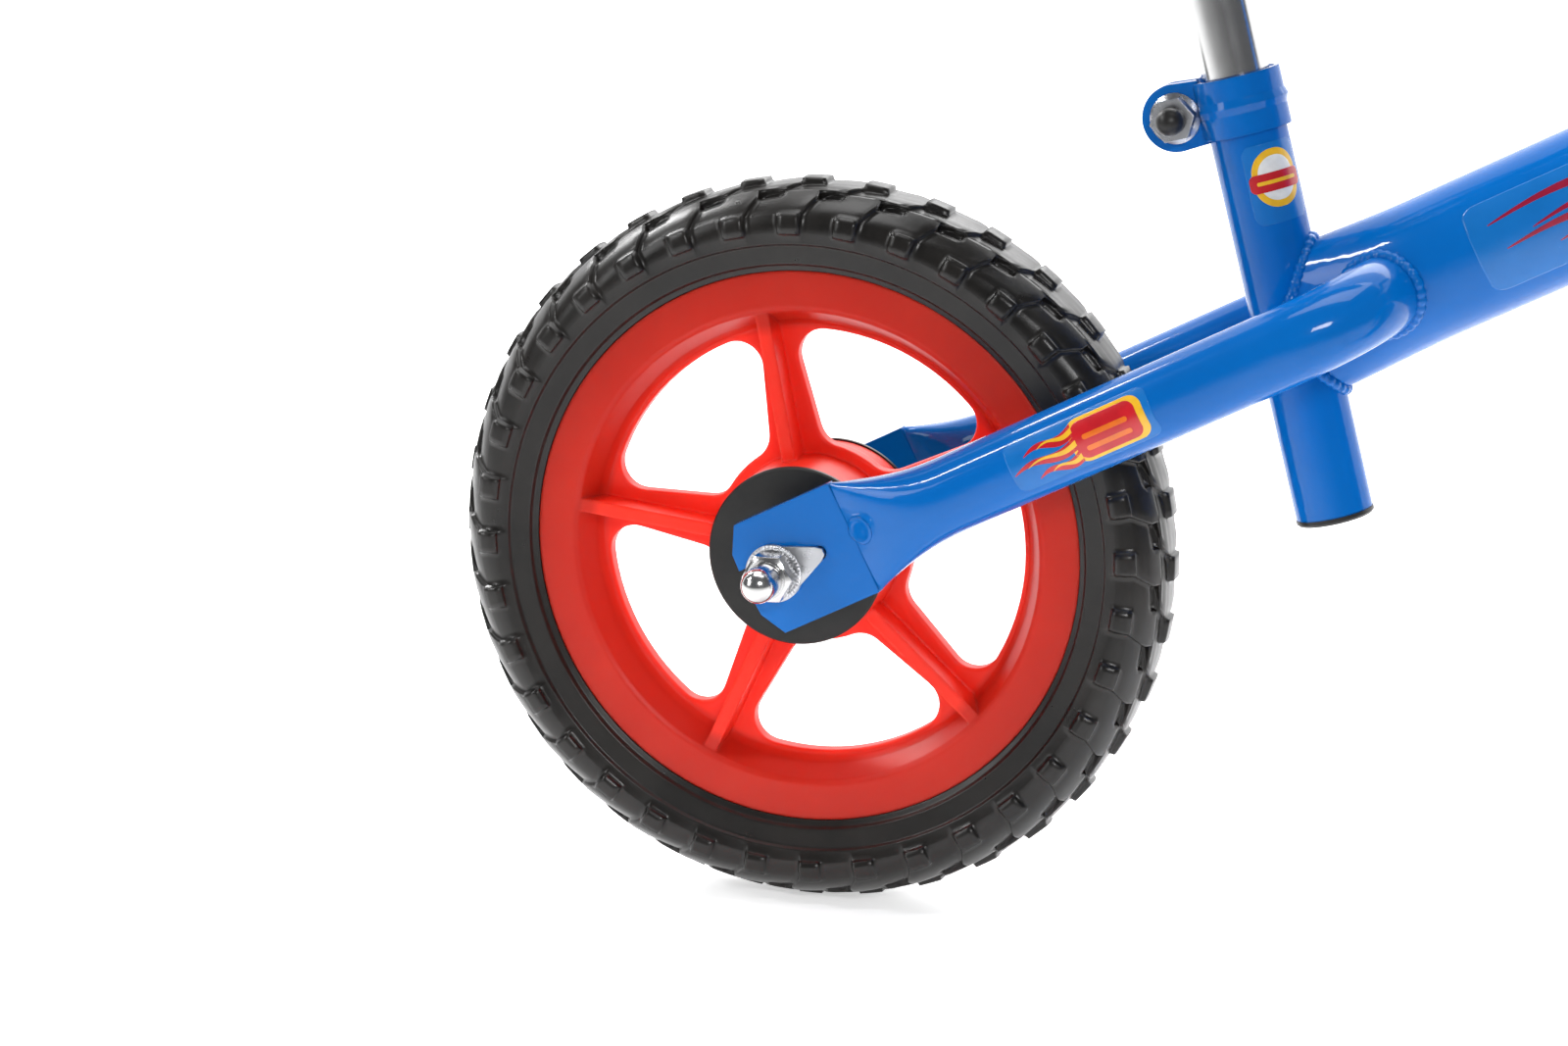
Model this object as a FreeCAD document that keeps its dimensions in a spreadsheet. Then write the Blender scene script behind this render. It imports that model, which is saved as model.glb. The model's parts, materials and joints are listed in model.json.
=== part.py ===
import FreeCAD, Part
import math
import os
import re

import Sketcher

from FreeCAD import Placement, Rotation, Vector

# A child's balance bike. X points forward, Y to the rider's left, Z up, in millimetres.
# The origin is on the ground, midway between the two axles.

doc = FreeCAD.newDocument("balance_bike")
sheet = doc.addObject("Spreadsheet::Sheet", "dims")

DIMENSIONS = [
    # wheels
    ("wheelRadius", 125.0, "tyre radius over the tread"),
    ("wheelbase", 540.0, "distance between the axles"),
    ("tyreHalfWidth", 21.8, "half of the tyre's width"),
    ("treadHalfWidth", 6.0, "half of the nearly flat crown"),
    ("rimRadius", 94.8, "rim lip"),
    ("rimBedRadius", 88.0, "bed that the tyre sits on"),
    ("rimHalfWidth", 14.6, "half of the rim's width"),
    ("rimLip", 2.0, "thickness of the rim's lips"),
    ("rimBandRadius", 82.0, "inner edge of the flat rim face"),
    ("windowOuter", 73.5, "outer edge of the windows"),
    ("windowInner", 34.5, "inner edge of the windows"),
    ("windowCorner", 9.0, "corner radius of the windows"),
    ("windowEdge", 0.9, "rounding of the windows' edges"),
    ("spokeCount", 5, "spokes in a wheel"),
    ("spokeTurn", 29.0, "angle of the first spoke above +X"),
    ("spokeRoot", 12.6, "half width that a spoke would have at the axle"),
    ("spokeDraft", 5.6, "angle between a spoke's side and its middle line"),
    ("webHalf", 3.0, "half thickness of the spokes"),
    ("ribWidth", 4.6, "rib along each spoke"),
    ("ribHeight", 13.4, "rib's edge from the wheel's middle plane"),
    ("ribEnd", 83.0, "outer end of the rib"),
    ("barrelRadius", 29.8, "hub barrel"),
    ("barrelHalf", 23.3, "half length of the hub barrel"),
    ("barrelWall", 2.6, "wall of the hub barrel"),
    ("capRadius", 30.4, "hub cap"),
    ("capThick", 2.0, "hub cap thickness"),
    ("capHole", 11.5, "hole in the hub cap"),
    # axles and bearings
    ("axleRadius", 5.0, "axle thread"),
    ("axleHalf", 64.0, "half length of the axle"),
    ("bearingRadius", 13.0, "bearing outer radius"),
    ("bearingWidth", 8.0, "bearing width"),
    ("ballRadius", 2.35, "balls in a wheel bearing"),
    ("ballCircle", 9.0, "radius of the ring of balls"),
    ("ballClearance", 0.05, "race groove over ball"),
    ("ballCount", 7, "balls in a wheel bearing"),
    ("raceGap", 1.8, "from ball circle to each ring's land"),
    ("jamNutFlats", 17.0, "jam nut across flats"),
    ("jamNutThick", 5.0, "jam nut thickness"),
    ("sleeveRadius", 8.0, "spacer sleeve by the dropout"),
    ("washerRadius", 9.7, "tab washer"),
    ("washerThick", 1.8, "tab washer thickness"),
    ("washerTab", 16.9, "from axle to the washer's tab"),
    ("tabRadius", 2.0, "tab"),
    ("tabHole", 2.4, "hole for the tab"),
    ("nutFlats", 15.0, "axle nut across flats"),
    ("nutHex", 9.0, "height of the axle nut's hexagon"),
    ("nutNeck", 5.9, "radius of the axle nut's neck"),
    ("nutTotal", 22.8, "axle nut from washer to tip"),
    # frame tubes
    ("mainAngle", 26.8, "rise of the main tube and the stays"),
    ("mainRadius", 23.0, "main tube"),
    ("mainWall", 1.6, "main tube wall"),
    ("squeezeLength", 52.0, "pressed stretch at each end of the main tube"),
    ("seatCross", 180.3, "from rear axle to the seat tube's axis"),
    ("seatLean", 14.41, "seat tube from the vertical"),
    ("seatTubeRadius", 12.7, "seat tube"),
    ("seatTubeBore", 11.2, "inside of the seat tube"),
    ("seatTubeDown", 61.8, "seat tube below the main tube's axis"),
    ("seatTubeUp", 84.6, "seat tube above the main tube's axis"),
    ("reliefWidth", 2.2, "slot at the back of the seat tube"),
    ("reliefLength", 34.0, "length of that slot"),
    ("stayRadius", 12.7, "stays and fork blades"),
    ("stayWall", 1.5, "wall of stays and fork blades"),
    ("stayOffset", 46.0, "stay from the middle plane"),
    ("stayReach", 215.0, "rear axle to the stay's inward leg"),
    ("stayBend", 30.0, "bend radius of stays and blades"),
    ("legGap", 3.0, "from the middle plane to the end of a stay's or blade's leg"),
    ("plateHalfWidth", 19.7, "flattened end of a stay"),
    ("plateThick", 5.0, "thickness of the flattened end"),
    ("plateEnd", 11.3, "plate behind the axle"),
    ("plateFlat", 30.0, "where the tube starts to open"),
    ("plateRound", 66.0, "where the tube is round"),
    ("slotHalf", 5.1, "half width of the axle slot"),
    # seat clamp
    ("clampLow", 65.9, "clamp's lower edge above the crossing"),
    ("clampHeight", 19.0, "clamp height"),
    ("clampWall", 1.7, "clamp strap"),
    ("beadWidth", 4.8, "bead pressed round the strap"),
    ("beadHeight", 0.9, "bead over the strap"),
    ("clampBack", 21.0, "clamp bolt behind the seat tube's axis"),
    ("clampEar", 11.0, "radius of the clamp's ears"),
    ("clampGap", 3.0, "gap between the ears"),
    ("earThick", 4.2, "thickness of an ear"),
    ("clampBolt", 3.0, "radius of the clamp bolt"),
    ("flangeRadius", 8.3, "flange of the clamp nut"),
    ("clampNutFlats", 13.0, "clamp nut across flats"),
    ("clampNutHigh", 6.5, "clamp nut height"),
    ("boltCapRadius", 4.6, "plastic cap on the clamp bolt"),
    # head, fork and steering
    ("headAngle", 70.0, "steering axis from the ground"),
    ("rake", 25.0, "front axle ahead of the steering axis"),
    ("headRadius", 17.0, "head tube"),
    ("headBore", 15.0, "inside of the head tube"),
    ("headLow", 196.0, "head tube's lower end along the axis"),
    ("headHigh", 288.0, "head tube's upper end along the axis"),
    ("headCross", 242.0, "where the main tube meets the head tube"),
    ("cupRadius", 19.5, "headset cups"),
    ("cupInsert", 7.0, "part of a cup inside the head tube"),
    ("steererRadius", 12.7, "steerer"),
    ("steererBore", 11.2, "inside of the steerer"),
    ("steererLow", 150.0, "steerer's lower end along the axis"),
    ("steererHigh", 313.0, "steerer's upper end along the axis"),
    ("crownHeight", 166.0, "where the blades meet the steerer"),
    ("headBall", 2.0, "radius of a headset ball"),
    ("headBallCircle", 15.6, "radius of a ring of headset balls"),
    ("headBallCount", 18, "balls in a headset ring"),
    ("headBallGap", 7.8, "ball circle from the head tube's end"),
    ("lockNutFlats", 30.0, "lock nut across flats"),
    # stem and handlebar
    ("quillRadius", 11.1, "stem quill and handlebar"),
    ("fitGap", 0.05, "clearance where one body turns on another"),
    ("quillLow", 240.0, "stem's lower end along the axis"),
    ("barHeight", 352.0, "bar clamp along the steering axis"),
    ("barForward", 34.0, "bar clamp ahead of the steering axis"),
    ("barClampRadius", 16.5, "outside of the bar clamp"),
    ("barClampWidth", 40.0, "width of the bar clamp"),
    ("armHeight", 22.0, "height of the stem's arm"),
    ("lugLength", 22.0, "stem's clamp lugs fore and aft"),
    ("lugSide", 24.0, "width and height of the lugs"),
    ("lugDrop", 31.0, "foot of the lugs below the bar"),
    ("slitWidth", 2.4, "slit between the lugs"),
    ("lugBolt", 3.0, "radius of the bar clamp's bolt"),
    ("lugBoltFlats", 10.0, "its head and nut across flats"),
    ("lugBoltDrop", 24.0, "its middle below the bar"),
    ("quillBolt", 4.0, "radius of the stem bolt"),
    ("quillBoltHead", 6.6, "radius of its head"),
    ("wedgeHeight", 18.0, "height of the stem's wedge"),
    ("barWall", 1.6, "handlebar wall"),
    ("barHalf", 186.0, "half length of the handlebar"),
    ("barMiddle", 38.0, "half of the straight middle"),
    ("barShoulder", 92.0, "where the bar is level again"),
    ("barRise", 84.0, "rise of the handlebar"),
    ("barBend", 34.0, "bend radius of the handlebar"),
    ("gripLength", 96.0, "length of a grip"),
    ("gripRadius", 15.6, "grip"),
    ("gripFlange", 23.0, "flange at the grip's inner end"),
    ("gripBulb", 18.5, "round end of the grip"),
    # seat post and saddle
    ("postRadius", 11.1, "seat post"),
    ("postWall", 1.6, "seat post wall"),
    ("postLow", -22.0, "seat post's lower end above the crossing"),
    ("postHigh", 150.0, "seat post's upper end above the crossing"),
    ("postCore", 10.0, "radius of the post's flattened top around the bolt"),
    ("saddleAxis", 163.0, "saddle bolt above the crossing"),
    ("railSpread", 17.0, "saddle rails from the middle"),
    ("railRadius", 3.5, "saddle rail wire"),
    ("railHeight", 9.0, "rails above the saddle bolt"),
    ("railBend", 9.0, "bend radius of the rails"),
    ("railRear", 62.0, "rails behind the bolt"),
    ("railFront", 74.0, "rails ahead of the bolt"),
    ("grooveInner", 11.5, "clamp plates from the middle plane"),
    ("grooveThick", 13.0, "thickness of a clamp plate"),
    ("grooveHalf", 17.0, "half length of a clamp plate"),
    ("grooveLow", 9.0, "clamp plate below the bolt"),
    ("grooveHigh", 15.0, "clamp plate above the bolt"),
    ("saddleBolt", 4.0, "radius of the saddle bolt"),
    ("saddleNutFlats", 13.0, "saddle nut across flats"),
    ("saddleNutHigh", 6.0, "saddle nut height"),
    ("saddleRear", 98.0, "saddle behind its bolt"),
    ("saddleFront", 118.0, "saddle ahead of its bolt"),
    ("saddleHalf", 70.0, "half of the saddle's width"),
    ("noseHalf", 24.0, "half of the nose's width"),
    ("saddleLift", 27.0, "saddle base above the bolt"),
    ("saddleThick", 38.0, "saddle pad"),
]


def fillSheet():
    for row, (alias, value, note) in enumerate(DIMENSIONS, start=1):
        sheet.set("A%d" % row, note)
        sheet.set("B%d" % row, str(value))
        sheet.setAlias("B%d" % row, alias)
    doc.recompute()


fillSheet()
ALIASES = {row[0] for row in DIMENSIONS}


def size(alias):
    return float(sheet.get(alias))


def bound(expression):
    # turns "rimRadius - rimLip" into an expression on the sheet's cells
    def cell(match):
        word = match.group()
        return "dims." + word if word in ALIASES else word
    return re.sub(r"[A-Za-z_]\w*", cell, str(expression))


def worth(expression):
    answer = sheet.evalExpression(bound(expression))
    return float(getattr(answer, "Value", answer))


# directions and points

def turnTo(direction):
    return Rotation(Vector(0, 0, 1), direction)


def frameOf(xDir, yDir, zDir):
    return Rotation(xDir, yDir, zDir, "ZXY")


RISE = math.radians(size("mainAngle"))
LEAN = math.radians(size("seatLean"))
HEAD = math.radians(size("headAngle"))

mainDir = Vector(math.cos(RISE), 0, math.sin(RISE))
mainUp = Vector(-math.sin(RISE), 0, math.cos(RISE))
seatDir = Vector(-math.sin(LEAN), 0, math.cos(LEAN))
seatBack = Vector(-math.cos(LEAN), 0, -math.sin(LEAN))
headDir = Vector(-math.cos(HEAD), 0, math.sin(HEAD))
headForward = Vector(math.sin(HEAD), 0, math.cos(HEAD))
right = Vector(0, -1, 0)

rearAxle = Vector(-size("wheelbase") / 2, 0, size("wheelRadius"))
frontAxle = Vector(size("wheelbase") / 2, 0, size("wheelRadius"))
seatPoint = rearAxle + mainDir * size("seatCross")
# foot of the square line from the front axle to the steering axis, taken as zero along it
headZero = frontAxle - headForward * size("rake")

WHEEL_TURN = frameOf(Vector(1, 0, 0), Vector(0, 0, 1), right)
STAY_TURN = frameOf(mainDir, mainUp, right)
SEAT_TURN = frameOf(seatBack * -1, Vector(0, 1, 0), seatDir)
HEAD_TURN = frameOf(headForward, Vector(0, 1, 0), headDir)


def onWheel(axle, offset=0.0):
    # local Z runs out to the right, local X forward, local Y up
    return Placement(axle + right * offset, WHEEL_TURN)


def onSeat(height):
    return Placement(seatPoint + seatDir * height, SEAT_TURN)


def onHead(height):
    return Placement(headZero + headDir * height, HEAD_TURN)


# building blocks

def bind(thing, name, expression):
    thing.setExpression(name, bound(expression))


def originPlane(body, role):
    for feature in body.Origin.OriginFeatures:
        if feature.Role == role:
            return feature


def outlineSketch(body, name, role, points):
    # closed outline of straight lines, each corner held by two expressions on the sheet
    sketch = body.newObject("Sketcher::SketchObject", name)
    sketch.AttachmentSupport = [(originPlane(body, role), "")]
    sketch.MapMode = "FlatFace"
    spots = [Vector(worth(a), worth(b), 0) for a, b in points]
    count = len(spots)
    for i in range(count):
        sketch.addGeometry(Part.LineSegment(spots[i], spots[(i + 1) % count]), False)
    for i, (a, b) in enumerate(points):
        holdPoint(sketch, i, 1, spots[i], a, b)
        sketch.addConstraint(Sketcher.Constraint("Coincident", i, 2, (i + 1) % count, 1))
    return sketch


def holdPoint(sketch, geometry, end, spot, a, b):
    for kind, value, expression in (("DistanceX", spot.x, a), ("DistanceY", spot.y, b)):
        number = sketch.addConstraint(Sketcher.Constraint(kind, -1, 1, geometry, end, value))
        name = "%s%d" % (kind, number)
        sketch.renameConstraint(number, name)
        bind(sketch, "Constraints." + name, expression)


def turned(label, points, placement):
    # a piece made on a lathe: corners are (radius, distance along the axis)
    body = doc.addObject("PartDesign::Body", label)
    sketch = outlineSketch(body, label + "_outline", "XZ_Plane", points)
    turn = body.newObject("PartDesign::Revolution", label + "_turn")
    turn.Profile = sketch
    turn.ReferenceAxis = (sketch, ["V_Axis"])
    turn.Angle = 360.0
    body.Tip = turn
    body.Placement = placement
    return body


def plate(label, points, thickness, placement):
    # a flat piece: corners are (x, y), the thickness runs along local Z
    body = doc.addObject("PartDesign::Body", label)
    sketch = outlineSketch(body, label + "_outline", "XY_Plane", points)
    pad = body.newObject("PartDesign::Pad", label + "_pad")
    pad.Profile = sketch
    bind(pad, "Length", thickness)
    body.Tip = pad
    body.Placement = placement
    return body


def ring(label, outer, inner, low, high, placement):
    corners = [(inner, low), (outer, low), (outer, high), (inner, high)]
    return turned(label, corners, placement)


def rod(label, radius, height, placement, low=0.0):
    piece = doc.addObject("Part::Cylinder", label)
    bind(piece, "Radius", radius)
    bind(piece, "Height", height)
    piece.Placement = placement.multiply(Placement(Vector(0, 0, low), Rotation()))
    return piece


def block(label, length, width, height, placement):
    # centred on local X and Y, standing on local Z
    piece = doc.addObject("Part::Box", label)
    bind(piece, "Length", length)
    bind(piece, "Width", width)
    bind(piece, "Height", height)
    shift = Vector(-worth(length) / 2, -worth(width) / 2, 0)
    piece.Placement = placement.multiply(Placement(shift, Rotation()))
    return piece


def hexagon(label, flats, height, placement):
    piece = doc.addObject("Part::Prism", label)
    piece.Polygon = 6
    bind(piece, "Circumradius", "(%s) / 2 / cos(30)" % flats)
    bind(piece, "Height", height)
    piece.Placement = placement
    return piece


def ball(label, radius, centre):
    piece = doc.addObject("Part::Sphere", label)
    bind(piece, "Radius", radius)
    piece.Placement = Placement(centre, Rotation())
    return piece


def groove(label, ringRadius, radius, placement):
    piece = doc.addObject("Part::Torus", label)
    bind(piece, "Radius1", ringRadius)
    bind(piece, "Radius2", radius)
    piece.Placement = placement
    return piece


def cut(label, base, *tools):
    result = base
    for i, tool in enumerate(tools):
        name = label if i == len(tools) - 1 else "%s_cut%d" % (label, i)
        step = doc.addObject("Part::Cut", name)
        step.Base = result
        step.Tool = tool
        result = step
    return result


def fuse(label, *pieces):
    joined = doc.addObject("Part::MultiFuse", label)
    joined.Shapes = list(pieces)
    joined.Refine = True
    return joined


def common(label, base, tool):
    both = doc.addObject("Part::Common", label)
    both.Base = base
    both.Tool = tool
    return both


def mirrored(label, source):
    twin = doc.addObject("Part::Mirroring", label)
    twin.Source = source
    twin.Base = Vector(0, 0, 0)
    twin.Normal = Vector(0, 1, 0)
    return twin


def group(label, *pieces):
    together = doc.addObject("Part::Compound", label)
    together.Links = list(pieces)
    return together


def pair(label, rightPiece):
    # the right-hand piece and its mirror image on the left, as two solids of one node
    return group(label, rightPiece, mirrored(label + "_left", rightPiece))


def shaped(label, shape, placement=Placement()):
    piece = doc.addObject("Part::Feature", label)
    piece.Shape = shape
    piece.Placement = placement
    return piece


NODES = {}


def keep(node, piece):
    piece.Label = node
    NODES[node] = piece
    return piece


# wheels

def tyre(prefix, axle):
    half = [
        ("rimBedRadius", "rimHalfWidth - rimLip"),
        ("rimRadius", "rimHalfWidth - rimLip"),
        ("rimRadius", "rimHalfWidth + 0.6"),
        ("rimRadius + 11", "rimHalfWidth + 2.9"),
        ("wheelRadius - 15", "tyreHalfWidth"),
        ("wheelRadius - 11.4", "tyreHalfWidth"),
        ("wheelRadius - 5.6", "tyreHalfWidth - 3.4"),
        ("wheelRadius - 1.4", "treadHalfWidth + 6"),
        ("wheelRadius", "treadHalfWidth"),
    ]
    points = half + [(a, "-(%s)" % b) for a, b in reversed(half)]
    return keep(prefix + "_tyre", turned(prefix + "_tyre", points, onWheel(axle)))


def rimBlank(prefix, axle):
    half = [
        ("bearingRadius - 1.5", "barrelHalf - bearingWidth"),
        ("bearingRadius", "barrelHalf - bearingWidth"),
        ("bearingRadius", "barrelHalf"),
        ("bearingRadius + 3", "barrelHalf"),
        ("bearingRadius + 3", "webHalf + 2"),
        ("barrelRadius - barrelWall", "webHalf + 2"),
        ("barrelRadius - barrelWall", "barrelHalf"),
        ("barrelRadius", "barrelHalf"),
        ("barrelRadius + 0.8", "webHalf"),
        ("windowOuter + 1.6", "webHalf"),
        ("windowOuter + 3.6", "webHalf + 2.6"),
        ("rimBandRadius - 1", "rimHalfWidth - 1"),
        ("rimBandRadius + 0.6", "rimHalfWidth"),
        ("rimRadius", "rimHalfWidth"),
        ("rimRadius", "rimHalfWidth - rimLip"),
        ("rimBedRadius", "rimHalfWidth - rimLip"),
    ]
    points = half + [(a, "-(%s)" % b) for a, b in reversed(half)]
    return turned(prefix + "_rim_blank", points, onWheel(axle))


def window(prefix, axle):
    # one opening between two spokes: a ring cut to a sector whose tip is moved off the axle
    deep = "webHalf * 2 + 8"
    low = -worth("webHalf") - 4
    place = onWheel(axle)
    outer = rod(prefix + "_window_outer", "windowOuter", deep, place, low)
    inner = rod(prefix + "_window_inner", "windowInner", deep, place, low)
    band = cut(prefix + "_window_band", outer, inner)
    spread = "360 / spokeCount + 2 * spokeDraft"
    middle = math.radians(worth("spokeTurn + 180 / spokeCount"))
    tip = worth("spokeRoot") * math.cos(math.radians(size("spokeDraft")))
    tip = tip / math.sin(math.radians(worth(spread)) / 2)
    wedge = rod(prefix + "_window_wedge", "wheelRadius", deep, place, low)
    bind(wedge, "Angle", spread)
    offset = Vector(tip * math.cos(middle), tip * math.sin(middle), low)
    turn = Rotation(Vector(0, 0, 1), math.degrees(middle) - worth(spread) / 2)
    wedge.Placement = place.multiply(Placement(offset, turn))
    sector = common(prefix + "_window_sector", band, wedge)
    doc.recompute()
    rounded = doc.addObject("Part::Fillet", prefix + "_window")
    rounded.Base = sector
    corners = []
    for number, edge in enumerate(sector.Shape.Edges, start=1):
        along = edge.tangentAt(edge.FirstParameter)
        if edge.Curve.TypeId == "Part::GeomLine" and abs(along.y) > 0.99:
            corners.append((number, size("windowCorner"), size("windowCorner")))
    rounded.Edges = corners
    return rounded


def spun(label, source, axle, angle):
    # a copy of a piece, turned about the axle
    twin = doc.addObject("App::Link", label)
    twin.LinkedObject = source
    twin.LinkTransform = True
    turn = Rotation(right, angle)
    twin.Placement = Placement(axle, turn).multiply(Placement(axle * -1, Rotation()))
    return twin


def rim(prefix, axle):
    blank = rimBlank(prefix, axle)
    first = window(prefix, axle)
    step = 360 / size("spokeCount")
    count = int(size("spokeCount"))
    windows = [spun("%s_window%d" % (prefix, i), first, axle, i * step) for i in range(count)]
    ribs = []
    for i in range(count):
        ribs.append(rib(prefix, axle, i * step + size("spokeTurn"), i))
    ribbed = fuse(prefix + "_rim_ribbed", blank, *ribs)
    opened = cut(prefix + "_rim_opened", ribbed, group(prefix + "_windows", *windows))
    doc.recompute()
    return keep(prefix + "_rim", softEdges(prefix + "_rim", opened, axle))


def rib(prefix, axle, angle, number):
    length = "ribEnd - barrelRadius + 2"
    piece = block("%s_rib%d" % (prefix, number), length, "ribWidth", "ribHeight * 2", Placement())
    out = worth("barrelRadius - 2")
    shift = Placement(Vector(out, -worth("ribWidth") / 2, -worth("ribHeight")), Rotation())
    spin = Placement(Vector(0, 0, 0), Rotation(Vector(0, 0, 1), angle))
    piece.Placement = onWheel(axle).multiply(spin).multiply(shift)
    return piece


def softEdges(label, source, axle):
    # rounds the windows' outlines on both faces of the web
    edges = []
    radius = size("windowEdge")
    for number, edge in enumerate(source.Shape.Edges, start=1):
        middle = edge.valueAt((edge.FirstParameter + edge.LastParameter) / 2)
        reach = math.hypot(middle.x - axle.x, middle.z - axle.z)
        onFace = abs(abs(middle.y) - size("webHalf")) < 0.01
        ends = [abs(abs(v.Point.y) - size("webHalf")) < 0.01 for v in edge.Vertexes]
        inWindow = size("windowInner") - 0.01 < reach < size("windowOuter") + 0.01
        if onFace and all(ends) and inWindow and onWindowEdge(middle - axle):
            edges.append((number, radius, radius))
    soft = doc.addObject("Part::Fillet", label)
    soft.Base = source
    soft.Edges = edges
    return soft


def onWindowEdge(spot):
    # false for the feet of the ribs, which run along the middle of the spokes
    step = 360 / size("spokeCount")
    angle = math.degrees(math.atan2(spot.z, spot.x)) - size("spokeTurn")
    away = abs((angle + step / 2) % step - step / 2)
    reach = math.hypot(spot.x, spot.z)
    return reach * math.sin(math.radians(away)) > size("ribWidth")


def hubCaps(prefix, axle):
    points = [
        ("capHole", "barrelHalf"),
        ("barrelRadius - barrelWall - 1.6", "barrelHalf"),
        ("barrelRadius - barrelWall - 1.6", "barrelHalf - 4"),
        ("barrelRadius - barrelWall", "barrelHalf - 4"),
        ("barrelRadius - barrelWall", "barrelHalf"),
        ("capRadius", "barrelHalf"),
        ("capRadius", "barrelHalf + capThick - 0.6"),
        ("capRadius - 0.6", "barrelHalf + capThick"),
        ("capHole", "barrelHalf + capThick"),
    ]
    cap = turned(prefix + "_hub_cap", points, onWheel(axle))
    keep(prefix + "_hub_caps", pair(prefix + "_hub_caps", cap))


def bearings(prefix, axle):
    low = "barrelHalf - bearingWidth"
    middle = worth("barrelHalf - bearingWidth / 2")
    trackPlace = onWheel(axle, middle)
    track = groove(prefix + "_track", "ballCircle", "ballRadius + ballClearance", trackPlace)
    outer = ring(prefix + "_outer_blank", "bearingRadius", "ballCircle + raceGap", low,
                 "barrelHalf", onWheel(axle))
    inner = ring(prefix + "_inner_blank", "ballCircle - raceGap", "axleRadius", low,
                 "barrelHalf", onWheel(axle))
    outerRing = cut(prefix + "_outer_ring", outer, track)
    innerRing = cut(prefix + "_inner_ring", inner, track)
    keep(prefix + "_bearing_outer_rings", pair(prefix + "_bearing_outer_rings", outerRing))
    keep(prefix + "_bearing_inner_rings", pair(prefix + "_bearing_inner_rings", innerRing))
    keep(prefix + "_bearing_balls", wheelBalls(prefix, axle, middle))


def wheelBalls(prefix, axle, offset):
    count = int(size("ballCount"))
    balls = []
    for side in (-1, 1):
        for i in range(count):
            angle = 2 * math.pi * i / count
            reach = size("ballCircle")
            spot = Vector(reach * math.cos(angle), side * offset, reach * math.sin(angle))
            name = "%s_ball_%d_%d" % (prefix, side + 1, i)
            balls.append(ball(name, "ballRadius", axle + spot))
    return group(prefix + "_bearing_balls", *balls)


def axleSet(prefix, axle, plateTurn):
    # the axle, what is threaded on it, and the washers that hook into the dropouts
    place = onWheel(axle)
    shaft = [
        (0, "-axleHalf"),
        ("axleRadius - 1", "-axleHalf"),
        ("axleRadius", "-axleHalf + 1"),
        ("axleRadius", "axleHalf - 1"),
        ("axleRadius - 1", "axleHalf"),
        (0, "axleHalf"),
    ]
    keep(prefix + "_axle", turned(prefix + "_axle", shaft, place))
    low = "barrelHalf - bearingWidth"
    keep(prefix + "_axle_spacer", ring(prefix + "_axle_spacer", "axleRadius + 2", "axleRadius",
                                       "-(%s)" % low, low, place))
    jam = hexagon(prefix + "_jam_hex", "jamNutFlats", "jamNutThick",
                  onWheel(axle, size("barrelHalf")))
    jam = cut(prefix + "_jam_nut", jam, rod(prefix + "_jam_bore", "axleRadius", "axleHalf", place))
    keep(prefix + "_jam_nuts", pair(prefix + "_jam_nuts", jam))
    inside = "stayOffset - plateThick / 2"
    sleeve = ring(prefix + "_sleeve", "sleeveRadius", "axleRadius", "barrelHalf + jamNutThick",
                  inside, place)
    keep(prefix + "_axle_sleeves", pair(prefix + "_axle_sleeves", sleeve))
    outside = worth("stayOffset + plateThick / 2")
    washer = tabWasher(prefix, Placement(axle + right * outside, plateTurn))
    keep(prefix + "_tab_washers", pair(prefix + "_tab_washers", washer))
    nut = axleNut(prefix, onWheel(axle, outside + size("washerThick")))
    keep(prefix + "_axle_nuts", pair(prefix + "_axle_nuts", nut))


def tabWasher(prefix, place):
    # local X points up the stay, where the tab hooks into its hole
    disc = rod(prefix + "_washer_disc", "washerRadius", "washerThick", place)
    tongue = [
        (2, "-washerRadius * 0.94"),
        ("washerTab", "-(tabRadius + 0.6)"),
        ("washerTab + tabRadius", "-tabRadius * 0.5"),
        ("washerTab + tabRadius", "tabRadius * 0.5"),
        ("washerTab", "tabRadius + 0.6"),
        (2, "washerRadius * 0.94"),
    ]
    tail = plate(prefix + "_washer_tail", tongue, "washerThick", place)
    peg = rod(prefix + "_washer_peg", "tabRadius", "3", place, -2.6)
    peg.Placement = place.multiply(Placement(Vector(size("washerTab"), 0, -2.6), Rotation()))
    body = fuse(prefix + "_washer_body", disc, tail, peg)
    hole = rod(prefix + "_washer_hole", "axleRadius", "washerThick * 4", place, -4)
    return cut(prefix + "_washer", body, hole)


def axleNut(prefix, place):
    hexa = hexagon(prefix + "_nut_hex", "nutFlats", "nutHex", place)
    rounding = [
        (0, 0),
        ("nutFlats / 2 + 1.2", 0),
        ("nutFlats / 2 + 1.2", "nutHex - 1.3"),
        ("nutFlats / 2 - 0.8", "nutHex"),
        (0, "nutHex"),
    ]
    cone = turned(prefix + "_nut_chamfer", rounding, place)
    corner = common(prefix + "_nut_corner", hexa, cone)
    neck = rod(prefix + "_nut_neck", "nutNeck", "nutTotal - nutNeck", place)
    dome = ball(prefix + "_nut_dome", "nutNeck",
                place.multVec(Vector(0, 0, worth("nutTotal - nutNeck"))))
    solid = fuse(prefix + "_nut_solid", corner, neck, dome)
    bore = rod(prefix + "_nut_bore", "axleRadius",
               "axleHalf - stayOffset - plateThick / 2 - washerThick", place)
    return cut(prefix + "_nut", solid, bore)


def wheel(prefix, axle, plateTurn):
    tyre(prefix, axle)
    rim(prefix, axle)
    hubCaps(prefix, axle)
    bearings(prefix, axle)
    axleSet(prefix, axle, plateTurn)


# flattened tubes

def closedCurve(points):
    curve = Part.BSplineCurve()
    curve.interpolate(points, PeriodicFlag=True)
    return Part.Wire([curve.toShape()])


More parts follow.
